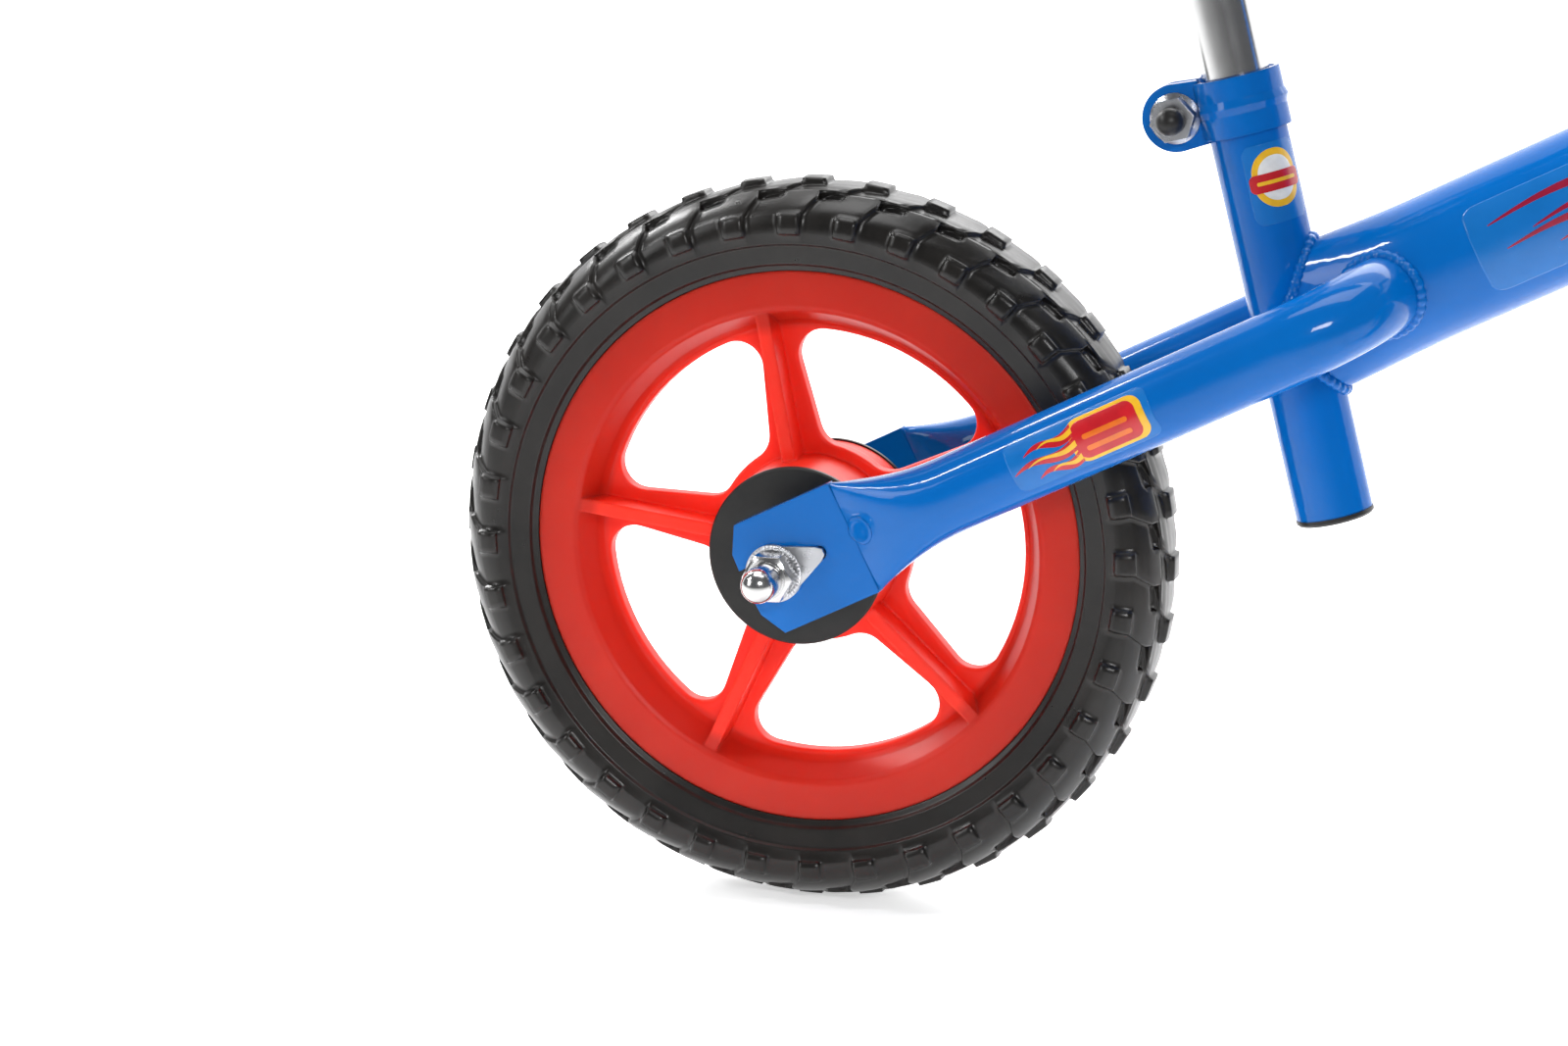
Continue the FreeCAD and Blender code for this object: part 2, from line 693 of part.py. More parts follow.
def section(along, halfWidth, halfThick, power):
    # a rounded outline square to local X, wide along local Y and thick along local Z
    spots = []
    for i in range(32):
        angle = 2 * math.pi * (i + 0.5) / 32
        a = math.copysign(abs(math.cos(angle)) ** (2 / power), math.cos(angle))
        b = math.copysign(abs(math.sin(angle)) ** (2 / power), math.sin(angle))
        spots.append(Vector(along, halfWidth * a, halfThick * b))
    return closedCurve(spots)


def opening(inset):
    # the stretch where the flattened end opens into the round tube,
    # and it opens fastest at the plate, so that a fold line shows there
    start = size("plateFlat") + (8 if inset else 0)
    end = size("plateRound")
    flatHalf = size("plateThick") / 2 - 0.2
    flatWidth = size("plateHalfWidth") - 0.2
    radius = size("stayRadius")
    wires = []
    for i in range(7):
        along = start + (end - start) * i / 6
        closed = (end - along) / (end - size("plateFlat"))
        opened = 1 - closed * closed
        thick = flatHalf + (radius - flatHalf) * opened
        width = flatWidth + (radius - flatWidth) * opened
        wires.append(section(along, width - inset, thick - inset, 2 + 3.0 * (1 - opened)))
    return Part.makeLoft(wires, True, False)


def bentTube(radius, start, reach):
    # straight run along X, then a quarter bend that turns in towards the middle plane
    bend = size("stayBend")
    corner = reach - bend
    straight = Part.LineSegment(Vector(start, 0, 0), Vector(corner, 0, 0)).toShape()
    middle = Vector(corner + bend * math.sin(math.pi / 4), 0, -bend * (1 - math.cos(math.pi / 4)))
    arc = Part.Arc(Vector(corner, 0, 0), middle, Vector(reach, 0, -bend)).toShape()
    inward = size("stayOffset") - bend - size("legGap")
    leg = Part.LineSegment(Vector(reach, 0, -bend), Vector(reach, 0, -bend - inward)).toShape()
    path = Part.Wire([straight, arc, leg])
    return path.makePipeShell([section(start, radius, radius, 2.0)], True, False)


def dropoutPlate():
    wide = size("plateHalfWidth")
    back = size("plateEnd")
    outline = [
        (size("plateFlat"), -wide),
        (size("plateFlat"), wide),
        (-back + 5.3, wide),
        (-back + 0.3, wide * 0.56),
        (-back, size("slotHalf")),
        (-back, -size("slotHalf")),
        (-back + 0.3, -wide * 0.56),
        (-back + 5.3, -wide),
    ]
    spots = [Vector(a, b, -size("plateThick") / 2) for a, b in outline]
    face = Part.Face(Part.makePolygon(spots + spots[:1]))
    return face.extrude(Vector(0, 0, size("plateThick")))


def axleSlot():
    deep = size("plateThick") * 3
    half = size("slotHalf")
    cutter = Part.makeCylinder(half, deep, Vector(0, 0, -deep / 2))
    mouth = Part.makeBox(size("plateEnd") * 2, 2 * half, deep,
                         Vector(-size("plateEnd") * 2, -half, -deep / 2))
    tab = Part.makeCylinder(size("tabHole"), deep, Vector(size("washerTab"), 0, -deep / 2))
    return cutter.fuse(mouth).fuse(tab)


def flattenedTube(reach):
    # one tube: dropout plate, opening stretch, round run and inward bend, hollow where it is open
    wall = size("stayWall")
    radius = size("stayRadius")
    outer = opening(0.0).fuse(bentTube(radius, size("plateRound"), reach))
    hollow = opening(wall).fuse(bentTube(radius - wall, size("plateRound"), reach))
    tube = outer.cut(hollow).fuse(dropoutPlate()).removeSplitter()
    return tube.cut(axleSlot())


def tubePair(rightNode, leftNode, axle, turn, reach, trims):
    # both ends are trimmed by what they are welded to
    place = Placement(axle + right * size("stayOffset"), turn)
    shape = flattenedTube(reach)
    shape.Placement = place
    for trim in trims:
        shape = shape.cut(trim)
    shape = biggest(shape)
    keep(rightNode, shaped(rightNode, shape))
    keep(leftNode, shaped(leftNode, shape.mirror(Vector(0, 0, 0), Vector(0, 1, 0))))


def biggest(shape):
    return max(shape.Solids, key=lambda solid: solid.Volume)


# frame

def squeezedTube(inset):
    # the main tube: round in the middle, pressed narrow where it meets the seat and head tubes
    radius = size("mainRadius")
    start = size("seatCross")
    end = start + (headZero + headDir * size("headCross") - seatPoint).Length
    ease = size("squeezeLength")
    seatEnd = squeeze(start, ease, size("seatTubeRadius") + 0.6, radius + 1.6, inset)
    headEnd = squeeze(end, -ease, size("headRadius") + 0.4, radius + 2.4, inset)
    rims = [section(along, radius - inset, radius - inset, 2.0)
            for along in (start + ease, end - ease)]
    middle = Part.makeLoft(rims, True, True)
    return seatEnd.fuse(middle).fuse(headEnd)


def squeeze(start, ease, narrow, tall, inset):
    # one pressed end: an oval at the joint that grows into the round tube
    radius = size("mainRadius")
    wires = []
    for i in range(6):
        x = i / 5
        x = x * x * (3 - 2 * x)
        wide = narrow + (radius - narrow) * x
        high = tall + (radius - tall) * x
        wires.append(section(start + ease * i / 5, high - inset, wide - inset, 2.0))
    return Part.makeLoft(wires, True, False)


def mainTube():
    place = Placement(rearAxle, STAY_TURN)
    outer = squeezedTube(0.0)
    inner = squeezedTube(size("mainWall"))
    outer.Placement = place
    inner.Placement = place
    seat = Part.makeCylinder(size("seatTubeRadius"), 200, seatPoint - seatDir * 100, seatDir)
    head = Part.makeCylinder(size("headRadius"), 200, headZero + headDir * 140, headDir)
    tube = biggest(outer.cut(inner).cut(seat).cut(head))
    keep("main_tube", shaped("main_tube", tube))
    return outer, seat


def seatTube():
    place = onSeat(0)
    tube = ring("seat_tube_blank", "seatTubeRadius", "seatTubeBore", "-seatTubeDown",
                "seatTubeUp", place)
    relief = block("seat_relief", "seatTubeRadius * 2", "reliefWidth", "reliefLength + 10",
                   Placement())
    shift = Vector(-2 * size("seatTubeRadius"), -size("reliefWidth") / 2,
                   worth("seatTubeUp - reliefLength"))
    relief.Placement = place.multiply(Placement(shift, Rotation()))
    keep("seat_tube", cut("seat_tube", tube, relief))
    plug = [
        (0, "-seatTubeDown - 2"),
        ("seatTubeRadius - 0.5", "-seatTubeDown - 2"),
        ("seatTubeRadius + 0.2", "-seatTubeDown - 1.2"),
        ("seatTubeRadius + 0.2", "-seatTubeDown"),
        ("seatTubeBore", "-seatTubeDown"),
        ("seatTubeBore", "-seatTubeDown + 6"),
        ("seatTubeBore - 2", "-seatTubeDown + 6"),
        ("seatTubeBore - 2", "-seatTubeDown + 1"),
        (0, "-seatTubeDown + 1"),
    ]
    keep("seat_tube_plug", turned("seat_tube_plug", plug, place))


def seatClamp():
    place = onSeat(size("clampLow"))
    middle = "clampHeight / 2"
    outer = "seatTubeRadius + clampWall"
    strap = [
        ("seatTubeRadius", 0),
        (outer, 0),
        (outer, "%s - beadWidth / 2" % middle),
        ("%s + beadHeight" % outer, middle),
        (outer, "%s + beadWidth / 2" % middle),
        (outer, "clampHeight"),
        ("seatTubeRadius", "clampHeight"),
    ]
    loop = turned("clamp_loop", strap, place)
    side = Vector(0, 0, size("clampHeight") / 2)
    back = Placement(side + Vector(-size("clampBack"), 0, 0), Rotation(Vector(1, 0, 0), 90))
    width = "clampGap + 2 * earThick"
    ear = rod("clamp_ear", "clampEar", width, place.multiply(back), -worth(width) / 2)
    armSide = [
        ("clampBack", "-clampHeight / 2"),
        ("clampBack", "clampHeight / 2"),
        (0, "clampEar"),
        (0, "-clampEar"),
    ]
    inward = Placement(Vector(0, 0, -worth(width) / 2), Rotation())
    arm = plate("clamp_arm", armSide, width, place.multiply(back).multiply(inward))
    solid = fuse("clamp_solid", loop, ear, arm)
    bore = rod("clamp_bore", "seatTubeRadius", "clampHeight * 3", place, -size("clampHeight"))
    gap = block("clamp_gap", "clampBack * 2", "clampGap", "clampHeight * 3", Placement())
    gapShift = Vector(-2 * size("clampBack"), -size("clampGap") / 2, -size("clampHeight"))
    gap.Placement = place.multiply(Placement(gapShift, Rotation()))
    hole = rod("clamp_hole", "clampBolt", "clampEar * 4", place.multiply(back),
               -2 * size("clampEar"))
    seat = rod("clamp_nut_seat", "flangeRadius + 0.4", "clampBack", place.multiply(back),
               worth(width) / 2)
    keep("seat_clamp", cut("seat_clamp", solid, bore, gap, hole, seat))
    clampFasteners(place.multiply(back))


def clampFasteners(place):
    # local Z of this place runs to the right, along the clamp bolt
    half = worth("clampGap / 2 + earThick")
    head = hexagon("clamp_bolt_head", "clampNutFlats - 3", "4", place)
    head.Placement = place.multiply(Placement(Vector(0, 0, -half - 4), Rotation()))
    shank = rod("clamp_bolt_shank", "clampBolt", "%g + clampNutHigh + 6" % (2 * half), place,
                -half - 1)
    keep("seat_clamp_bolt", fuse("seat_clamp_bolt", head, shank))
    nutPlace = place.multiply(Placement(Vector(0, 0, half), Rotation()))
    hexa = hexagon("clamp_nut_hex", "clampNutFlats", "clampNutHigh", nutPlace)
    flange = turned("clamp_nut_flange", [
        (0, 0),
        ("flangeRadius", 0),
        ("flangeRadius", 0.9),
        ("clampNutFlats / 2", 2.2),
        (0, 2.2),
    ], nutPlace)
    body = fuse("clamp_nut_body", hexa, flange)
    bore = rod("clamp_nut_bore", "clampBolt", "clampNutHigh * 3", nutPlace, -size("clampNutHigh"))
    keep("seat_clamp_nut", cut("seat_clamp_nut", body, bore))
    capPlace = nutPlace.multiply(Placement(Vector(0, 0, size("clampNutHigh")), Rotation()))
    skirt = rod("clamp_cap_skirt", "boltCapRadius", "3.4", capPlace)
    dome = ball("clamp_cap_dome", "boltCapRadius", capPlace.multVec(Vector(0, 0, 3.4)))
    shell = fuse("clamp_cap_shell", skirt, dome)
    inside = rod("clamp_cap_inside", "clampBolt", "5", capPlace)
    under = rod("clamp_cap_under", "boltCapRadius * 2", "boltCapRadius", capPlace,
                -size("boltCapRadius"))
    keep("seat_clamp_bolt_cap", cut("seat_clamp_bolt_cap", shell, inside, under))


def headTube():
    place = onHead(0)
    keep("head_tube", ring("head_tube", "headRadius", "headBore", "headLow", "headHigh", place))


def cup(node, lowEnd):
    # pressed into one end of the head tube, with half of the ball track in its open face
    sign = -1 if lowEnd else 1
    end = "headLow" if lowEnd else "headHigh"
    ballSpot = worth("%s + (%d) * headBallGap" % (end, sign))
    face = "%s + (%d) * (headBallGap - 0.15)" % (end, sign)
    points = [
        ("headBore - 2", "%s - (%d) * cupInsert" % (end, sign)),
        ("headBore", "%s - (%d) * cupInsert" % (end, sign)),
        ("headBore", end),
        ("cupRadius - 1", end),
        ("cupRadius", "%s + (%d) * 1.5" % (end, sign)),
        ("cupRadius", face),
        ("headBore - 1.8", face),
    ]
    blank = turned(node + "_blank", points, onHead(0))
    track = groove(node + "_track", "headBallCircle", "headBall + ballClearance",
                   onHead(ballSpot))
    keep(node, cut(node, blank, track))
    return ballSpot


def headBalls(node, spot):
    count = int(size("headBallCount"))
    place = onHead(spot)
    balls = []
    for i in range(count):
        angle = 2 * math.pi * i / count
        reach = size("headBallCircle")
        centre = place.multVec(Vector(reach * math.cos(angle), reach * math.sin(angle), 0))
        balls.append(ball("%s_%d" % (node, i), "headBall", centre))
    keep(node, group(node, *balls))


def crownRace(spot):
    low = spot - 6.0
    points = [
        ("steererRadius", "%g" % low),
        ("cupRadius - 2.5", "%g" % low),
        ("cupRadius - 0.6", "%g" % (low + 2)),
        ("cupRadius - 0.6", "%g" % (spot - 0.15)),
        ("steererRadius", "%g" % (spot - 0.15)),
    ]
    blank = turned("crown_race_blank", points, onHead(0))
    track = groove("crown_race_track", "headBallCircle", "headBall + ballClearance",
                   onHead(spot))
    keep("headset_crown_race", cut("headset_crown_race", blank, track))


def topRace(spot):
    # threaded race, lock washer and lock nut, one above the other
    high = spot + 6.4
    points = [
        ("steererRadius", "%g" % (spot + 0.15)),
        ("cupRadius - 0.6", "%g" % (spot + 0.15)),
        ("cupRadius - 0.6", "%g" % (high - 2)),
        ("cupRadius - 2.5", "%g" % high),
        ("steererRadius", "%g" % high),
    ]
    blank = turned("top_race_blank", points, onHead(0))
    track = groove("top_race_track", "headBallCircle", "headBall + ballClearance", onHead(spot))
    keep("headset_top_race", cut("headset_top_race", blank, track))
    washer = ring("headset_lock_washer", "cupRadius - 3", "steererRadius", "%g" % high,
                  "%g" % (high + 1.6), onHead(0))
    keep("headset_lock_washer", washer)
    hexa = hexagon("lock_nut_hex", "lockNutFlats", "7", onHead(high + 1.6))
    bore = rod("lock_nut_bore", "steererRadius", "30", onHead(high - 5))
    keep("headset_lock_nut", cut("headset_lock_nut", hexa, bore))


def frame():
    mainOuter, seatBore = mainTube()
    seatTube()
    seatClamp()
    headTube()
    tubePair("stay_right", "stay_left", rearAxle, STAY_TURN, size("stayReach"),
             [mainOuter, seatBore])
    lower = cup("headset_lower_cup", True)
    upper = cup("headset_upper_cup", False)
    headBalls("headset_lower_balls", lower)
    headBalls("headset_upper_balls", upper)
    crownRace(lower)
    topRace(upper)


# fork

def fork():
    tube = ring("fork_steerer", "steererRadius", "steererBore", "steererLow", "steererHigh",
                onHead(0))
    keep("fork_steerer", tube)
    crown = headZero + headDir * size("crownHeight")
    along = (crown - frontAxle).normalize()
    reach = (crown - frontAxle).Length
    up = Vector(-along.z, 0, along.x)
    turn = frameOf(along, up, right)
    steerer = Part.makeCylinder(size("steererRadius"), 240, headZero + headDir * 100, headDir)
    tubePair("fork_blade_right", "fork_blade_left", frontAxle, turn, reach, [steerer])
    return turn


# stem and handlebar

def stem():
    place = onHead(0)
    top = "barHeight - 4"
    quill = ring("stem_quill", "quillRadius", "quillRadius - 2.4", "quillLow", top, place)
    head = turned("stem_head", [
        (0, "barHeight - 22"),
        ("quillRadius", "barHeight - 22"),
        ("quillRadius + 2.4", "barHeight - 16"),
        ("quillRadius + 2.4", "barHeight + 2"),
        ("quillRadius", "barHeight + 6"),
        (0, "barHeight + 6"),
    ], place)
    arm = block("stem_arm", "barForward", "quillRadius * 2", "armHeight", Placement())
    armShift = Vector(0, -size("quillRadius"), size("barHeight") - 18)
    arm.Placement = place.multiply(Placement(armShift, Rotation()))
    clampPlace = barPlace()
    shell = rod("stem_clamp", "barClampRadius", "barClampWidth", clampPlace,
                -size("barClampWidth") / 2)
    lugs = block("stem_lugs", "lugLength", "lugSide", "lugSide", Placement())
    lugShift = Vector(worth("barForward - lugLength / 2"), -size("lugSide") / 2,
                      worth("barHeight - lugDrop"))
    lugs.Placement = place.multiply(Placement(lugShift, Rotation()))
    solid = fuse("stem_solid", quill, head, arm, shell, lugs)
    barBore = rod("stem_bar_bore", "quillRadius + fitGap", "barClampWidth * 2", clampPlace,
                  -size("barClampWidth"))
    boltBore = rod("stem_bolt_bore", "quillBolt + 0.5", "barHeight - quillLow", place,
                   size("quillLow"))
    headBore = rod("stem_bolt_seat", "quillBoltHead + 0.6", "armHeight", place,
                   size("barHeight"))
    slit = block("stem_slit", "slitWidth", "barClampWidth * 2", "lugDrop", Placement())
    slitShift = Vector(worth("barForward - slitWidth / 2"), -size("barClampWidth"),
                       worth("barHeight - lugDrop - 3"))
    slit.Placement = place.multiply(Placement(slitShift, Rotation()))
    across = rod("stem_lug_bore", "lugBolt", "lugLength * 3", lugBoltPlace(),
                 -1.5 * size("lugLength"))
    keep("stem", cut("stem", solid, barBore, boltBore, headBore, slit, across))
    stemFasteners(place)


def barPlace():
    # centre of the handlebar clamp, local Z along the bar
    spot = headZero + headDir * size("barHeight") + headForward * size("barForward")
    return Placement(spot, frameOf(headForward, headDir, right))


def lugBoltPlace():
    # bolt under the bar, running fore and aft through the two lugs
    spot = headZero + headDir * worth("barHeight - lugBoltDrop")
    spot = spot + headForward * size("barForward")
    return Placement(spot, frameOf(Vector(0, 1, 0), headDir, headForward))


def stemFasteners(place):
    high = size("barHeight")
    low = size("quillLow")
    head = rod("stem_bolt_head", "quillBoltHead", "8", place, high)
    socket = hexagon("stem_bolt_socket", "6", "12", onHead(high + 4))
    shank = rod("stem_bolt_shank", "quillBolt", "barHeight - quillLow + wedgeHeight", place,
                low + 2 - size("wedgeHeight"))
    keep("stem_bolt", cut("stem_bolt", fuse("stem_bolt_solid", head, shank), socket))
    wedge = ring("stem_wedge", "quillRadius", "quillBolt", "quillLow - wedgeHeight",
                 "quillLow", place)
    keep("stem_wedge", wedge)
    across = lugBoltPlace()
    lug = size("lugLength") / 2
    capHead = hexagon("bar_bolt_head", "lugBoltFlats", "4", across)
    capHead.Placement = across.multiply(Placement(Vector(0, 0, lug), Rotation()))
    pin = rod("bar_bolt_shank", "lugBolt", "lugLength + 8", across, -lug - 6)
    keep("bar_clamp_bolt", fuse("bar_clamp_bolt", capHead, pin))
    nut = hexagon("bar_nut_hex", "lugBoltFlats", "5", across)
    nut.Placement = across.multiply(Placement(Vector(0, 0, -lug - 5), Rotation()))
    hole = rod("bar_nut_bore", "lugBolt", "lugLength * 2", across, -2 * lug)
    keep("bar_clamp_nut", cut("bar_clamp_nut", nut, hole))


def barPath():
    # half of the handlebar's middle line, from the middle outwards, as lines and two arcs
    low = Vector(size("barMiddle"), 0, 0)
    high = Vector(size("barShoulder"), size("barRise"), 0)
    slope = (high - low).normalize()
    lean = math.atan2(slope.y, slope.x)
    bend = size("barBend")
    setback = bend * math.tan(lean / 2)
    level = Vector(1, 0, 0)
    a = low - level * setback
    b = low + slope * setback
    c = high - slope * setback
    d = high + level * setback
    lowCentre = a + Vector(0, bend, 0)
    highCentre = d - Vector(0, bend, 0)
    halfTurn = Vector(math.sin(lean / 2), math.cos(lean / 2), 0)
    lowMiddle = lowCentre + Vector(halfTurn.x, -halfTurn.y, 0) * bend
    highMiddle = highCentre + Vector(-halfTurn.x, halfTurn.y, 0) * bend
    end = Vector(size("barHalf"), size("barRise"), 0)
    return [
        Part.Arc(a, lowMiddle, b).toShape(),
        Part.LineSegment(b, c).toShape(),
        Part.Arc(c, highMiddle, d).toShape(),
        Part.LineSegment(d, end).toShape(),
    ], a, end


def handlebar():
    # local X to the left, local Y up the rise
    edges, first, end = barPath()
    mirrorPlane = Vector(1, 0, 0)
    other = [e.mirror(Vector(0, 0, 0), mirrorPlane) for e in edges]
    other.reverse()
    middle = Part.LineSegment(Vector(-first.x, 0, 0), first).toShape()
    path = Part.Wire(Part.__sortEdges__(other + [middle] + edges))
    start = Vector(-end.x, end.y, 0)
    solids = []
    for radius in (size("quillRadius"), size("quillRadius") - size("barWall")):
        circle = Part.makeCircle(radius, start, Vector(1, 0, 0))
        solids.append(path.makePipeShell([Part.Wire([circle])], True, False))
    tube = solids[0].cut(solids[1])
    spot = barPlace().Base
    turn = frameOf(Vector(0, 1, 0), headDir, headForward)
    keep("handlebar", shaped("handlebar", tube, Placement(spot, turn)))
    grips(spot)


def grips(spot):
    points = [
        ("quillRadius", "barHalf - gripLength + 4"),
        ("gripFlange - 1", "barHalf - gripLength + 4"),
        ("gripFlange", "barHalf - gripLength + 5.5"),
        ("gripFlange - 1", "barHalf - gripLength + 8"),
        ("gripRadius", "barHalf - gripLength + 9.5"),
        ("gripRadius", "barHalf - 12"),
        ("gripBulb", "barHalf - 7"),
        ("gripBulb", "barHalf - 1"),
        ("gripBulb - 5", "barHalf + 4"),
        (0, "barHalf + 4"),
        (0, "barHalf"),
        ("quillRadius", "barHalf"),
    ]
    centre = spot + headDir * size("barRise")
    for node, side in (("grip_right", -1), ("grip_left", 1)):
        turn = frameOf(headForward, headDir * -side, Vector(0, side, 0))
        keep(node, turned(node, points, Placement(centre, turn)))


# seat post and saddle

def seatPost():
    tube = ring("post_tube", "postRadius", "postRadius - postWall", "postLow", "postHigh",
                onSeat(0))
    core = rod("post_core", "postCore", "postRadius * 2 - 0.2", saddlePlace(),
               0.1 - size("postRadius"))
    neck = rod("post_neck", "postRadius", "12", onSeat(size("postHigh") - 6))
    solid = fuse("post_solid", tube, neck, core)
    bore = rod("post_bore", "saddleBolt + fitGap", "postRadius * 4", saddlePlace(),
               -2 * size("postRadius"))
    keep("seat_post", cut("seat_post", solid, bore))


def saddlePlace():
    # the saddle bolt's middle: local Z to the right, local X forward and local Y up
    return Placement(seatPoint + seatDir * size("saddleAxis"), WHEEL_TURN)


def saddleOutline(inset):
    # top view: an egg whose width falls from the broad back to the narrow nose
    rear = size("saddleRear") - inset
    front = size("saddleFront") - inset
    wide = size("saddleHalf") - inset
    nose = size("noseHalf") - inset
    spots = []
    count = 36
    for i in range(count):
        angle = 2 * math.pi * (i + 0.5) / count
        along = (front - rear) / 2 + (front + rear) / 2 * math.cos(angle)
        x = (along + rear) / (front + rear)
        ease = 1 / (1 + math.exp((x - 0.47) * 13))
        half = nose + (wide - nose) * ease
        spots.append((along, half * math.copysign(abs(math.sin(angle)) ** 0.62, math.sin(angle))))
    return spots


def saddleSlab(low, high, insetLow, insetHigh):
    wires = []
    for height, inset in ((low, insetLow), (high, insetHigh)):
        spots = [Vector(a, height, b) for a, b in saddleOutline(inset)]
        wires.append(closedCurve(spots))
    return Part.makeLoft(wires, True, True)


def saddle():
    place = saddlePlace()
    lift = size("saddleLift")
    base = saddleSlab(lift, lift + 4, 8, 5)
    keep("saddle_base", shaped("saddle_base", base, place))
    pad = saddleSlab(lift + 4, lift + 4 + size("saddleThick") * 0.6, 0, 1)
    crown = saddleSlab(lift + 4 + size("saddleThick") * 0.6, lift + size("saddleThick"), 1, 16)
    keep("saddle_pad", shaped("saddle_pad", pad.fuse(crown), place))
    keep("saddle_rails", group("saddle_rails", *[rail(side) for side in (-1, 1)]))
    clampParts(place)


def rail(side):
    # one wire: up into the base behind, level through the clamp, up into the nose in front
    lift = size("saddleLift")
    spread = size("railSpread") * side
    low = size("railHeight")
    bend = size("railBend")
    rear = -size("railRear")
    front = size("railFront")
    path = Part.Wire([
        Part.LineSegment(Vector(rear, lift, spread), Vector(rear, low + bend, spread)).toShape(),
        Part.Arc(Vector(rear, low + bend, spread),
                 Vector(rear + bend * (1 - math.sqrt(0.5)), low + bend * (1 - math.sqrt(0.5)),
                        spread),
                 Vector(rear + bend, low, spread)).toShape(),
        Part.LineSegment(Vector(rear + bend, low, spread),
                         Vector(front - bend, low, spread)).toShape(),
        Part.Arc(Vector(front - bend, low, spread),
                 Vector(front - bend * (1 - math.sqrt(0.5)),
                        low + bend * (1 - math.sqrt(0.5)), spread),
                 Vector(front, low + bend, spread)).toShape(),
        Part.LineSegment(Vector(front, low + bend, spread), Vector(front, lift, spread)).toShape(),
    ])
    circle = Part.makeCircle(size("railRadius"), Vector(rear, lift, spread), Vector(0, -1, 0))
    wire = path.makePipeShell([Part.Wire([circle])], True, False)
    return shaped("rail_%d" % (side + 1), wire, saddlePlace())


def clampParts(place):
    # two grooved plates squeeze the rails, one bolt through both and the post's core
    side = [
        ("-grooveHalf", "-grooveLow"),
        ("grooveHalf", "-grooveLow"),
        ("grooveHalf", "grooveHigh"),
        ("-grooveHalf", "grooveHigh"),
    ]
    offset = Placement(Vector(0, 0, size("grooveInner")), Rotation())
    blank = plate("saddle_clamp_blank", side, "grooveThick", place.multiply(offset))
    rails = rod("saddle_clamp_groove", "railRadius", "grooveHalf * 4", Placement())
    spot = Vector(-2 * size("grooveHalf"), size("railHeight"), size("railSpread"))
    rails.Placement = place.multiply(Placement(spot, Rotation(Vector(0, 1, 0), 90)))
    hole = rod("saddle_clamp_hole", "saddleBolt", "grooveInner * 5", place)
    keep("saddle_clamp_plates",
         pair("saddle_clamp_plates", cut("saddle_clamp_side", blank, rails, hole)))
    end = worth("grooveInner + grooveThick")
    reach = worth("saddleNutHigh + 1")
    shank = rod("saddle_bolt_shank", "saddleBolt", "%g" % (2 * (end + reach)), place, -end - reach)
    keep("saddle_clamp_bolt", shank)
    nut = hexagon("saddle_nut_hex", "saddleNutFlats", "saddleNutHigh", place)
    nut.Placement = place.multiply(Placement(Vector(0, 0, end), Rotation()))
    bore = rod("saddle_nut_bore", "saddleBolt", "grooveInner * 5", place)
    keep("saddle_clamp_nuts", pair("saddle_clamp_nuts", cut("saddle_nut", nut, bore)))


# the whole bike

frame()
forkTurn = fork()
wheel("rear", rearAxle, STAY_TURN)
wheel("front", frontAxle, forkTurn)
stem()
handlebar()
seatPost()
saddle()
doc.recompute()


def checked():
    for thing in doc.Objects:
        if "Invalid" in thing.State or "Error" in thing.State:
            raise RuntimeError("failed object: " + thing.Name)
    for node, piece in NODES.items():
        if piece.Shape.isNull() or not piece.Shape.isValid():
            raise RuntimeError("bad shape: " + node)


checked()
os.makedirs("parts", exist_ok=True)
for node, piece in NODES.items():
    piece.Shape.exportStep("parts/%s.step" % node)
    print("%-26s %8.1f mm3 %2d solids" % (node, piece.Shape.Volume, len(piece.Shape.Solids)))
print(len(NODES), "nodes")
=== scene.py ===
import json

import bpy
import numpy as np
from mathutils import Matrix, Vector


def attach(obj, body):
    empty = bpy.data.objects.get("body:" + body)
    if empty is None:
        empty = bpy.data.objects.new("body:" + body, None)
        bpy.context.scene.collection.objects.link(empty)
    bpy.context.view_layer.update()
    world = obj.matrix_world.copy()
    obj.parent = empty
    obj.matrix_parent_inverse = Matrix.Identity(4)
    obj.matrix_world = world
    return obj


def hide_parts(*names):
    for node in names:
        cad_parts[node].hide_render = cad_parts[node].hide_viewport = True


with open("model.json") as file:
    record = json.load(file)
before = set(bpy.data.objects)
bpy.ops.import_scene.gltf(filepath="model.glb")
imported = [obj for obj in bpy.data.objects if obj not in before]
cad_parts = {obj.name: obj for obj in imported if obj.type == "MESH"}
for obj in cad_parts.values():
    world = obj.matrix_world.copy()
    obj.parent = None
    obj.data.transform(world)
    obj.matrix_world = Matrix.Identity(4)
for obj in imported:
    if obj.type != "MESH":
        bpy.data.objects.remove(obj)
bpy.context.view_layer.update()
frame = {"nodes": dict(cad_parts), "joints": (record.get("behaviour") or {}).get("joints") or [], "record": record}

print("frame loaded:", len(frame["nodes"]), "nodes")

# places taken from the frame, in metres

joints = {j["name"]: j for j in frame["joints"]}


def jointPoint(name):
    return np.array(joints[name]["pos_m"], float)


def unit(vector):
    vector = np.asarray(vector, float)
    return vector / np.linalg.norm(vector)


rearAxle = jointPoint("rear_wheel_spin")
frontAxle = jointPoint("front_wheel_spin")
barCentre = jointPoint("bar_tilt")
saddleBolt = jointPoint("saddle_tilt")
headDir = unit(joints["steering"]["axis"])
seatDir = unit(joints["seat_height"]["axis"])
mm = 0.001


# mesh and node helpers

def meshPiece(name, points, faces):
    # a smooth shaded mesh object in the scene
    mesh = bpy.data.meshes.new(name)
    mesh.from_pydata(np.asarray(points, float).tolist(), [], faces)
    mesh.validate()
    mesh.update()
    mesh.shade_smooth()
    piece = bpy.data.objects.new(name, mesh)
    bpy.context.scene.collection.objects.link(piece)
    return piece


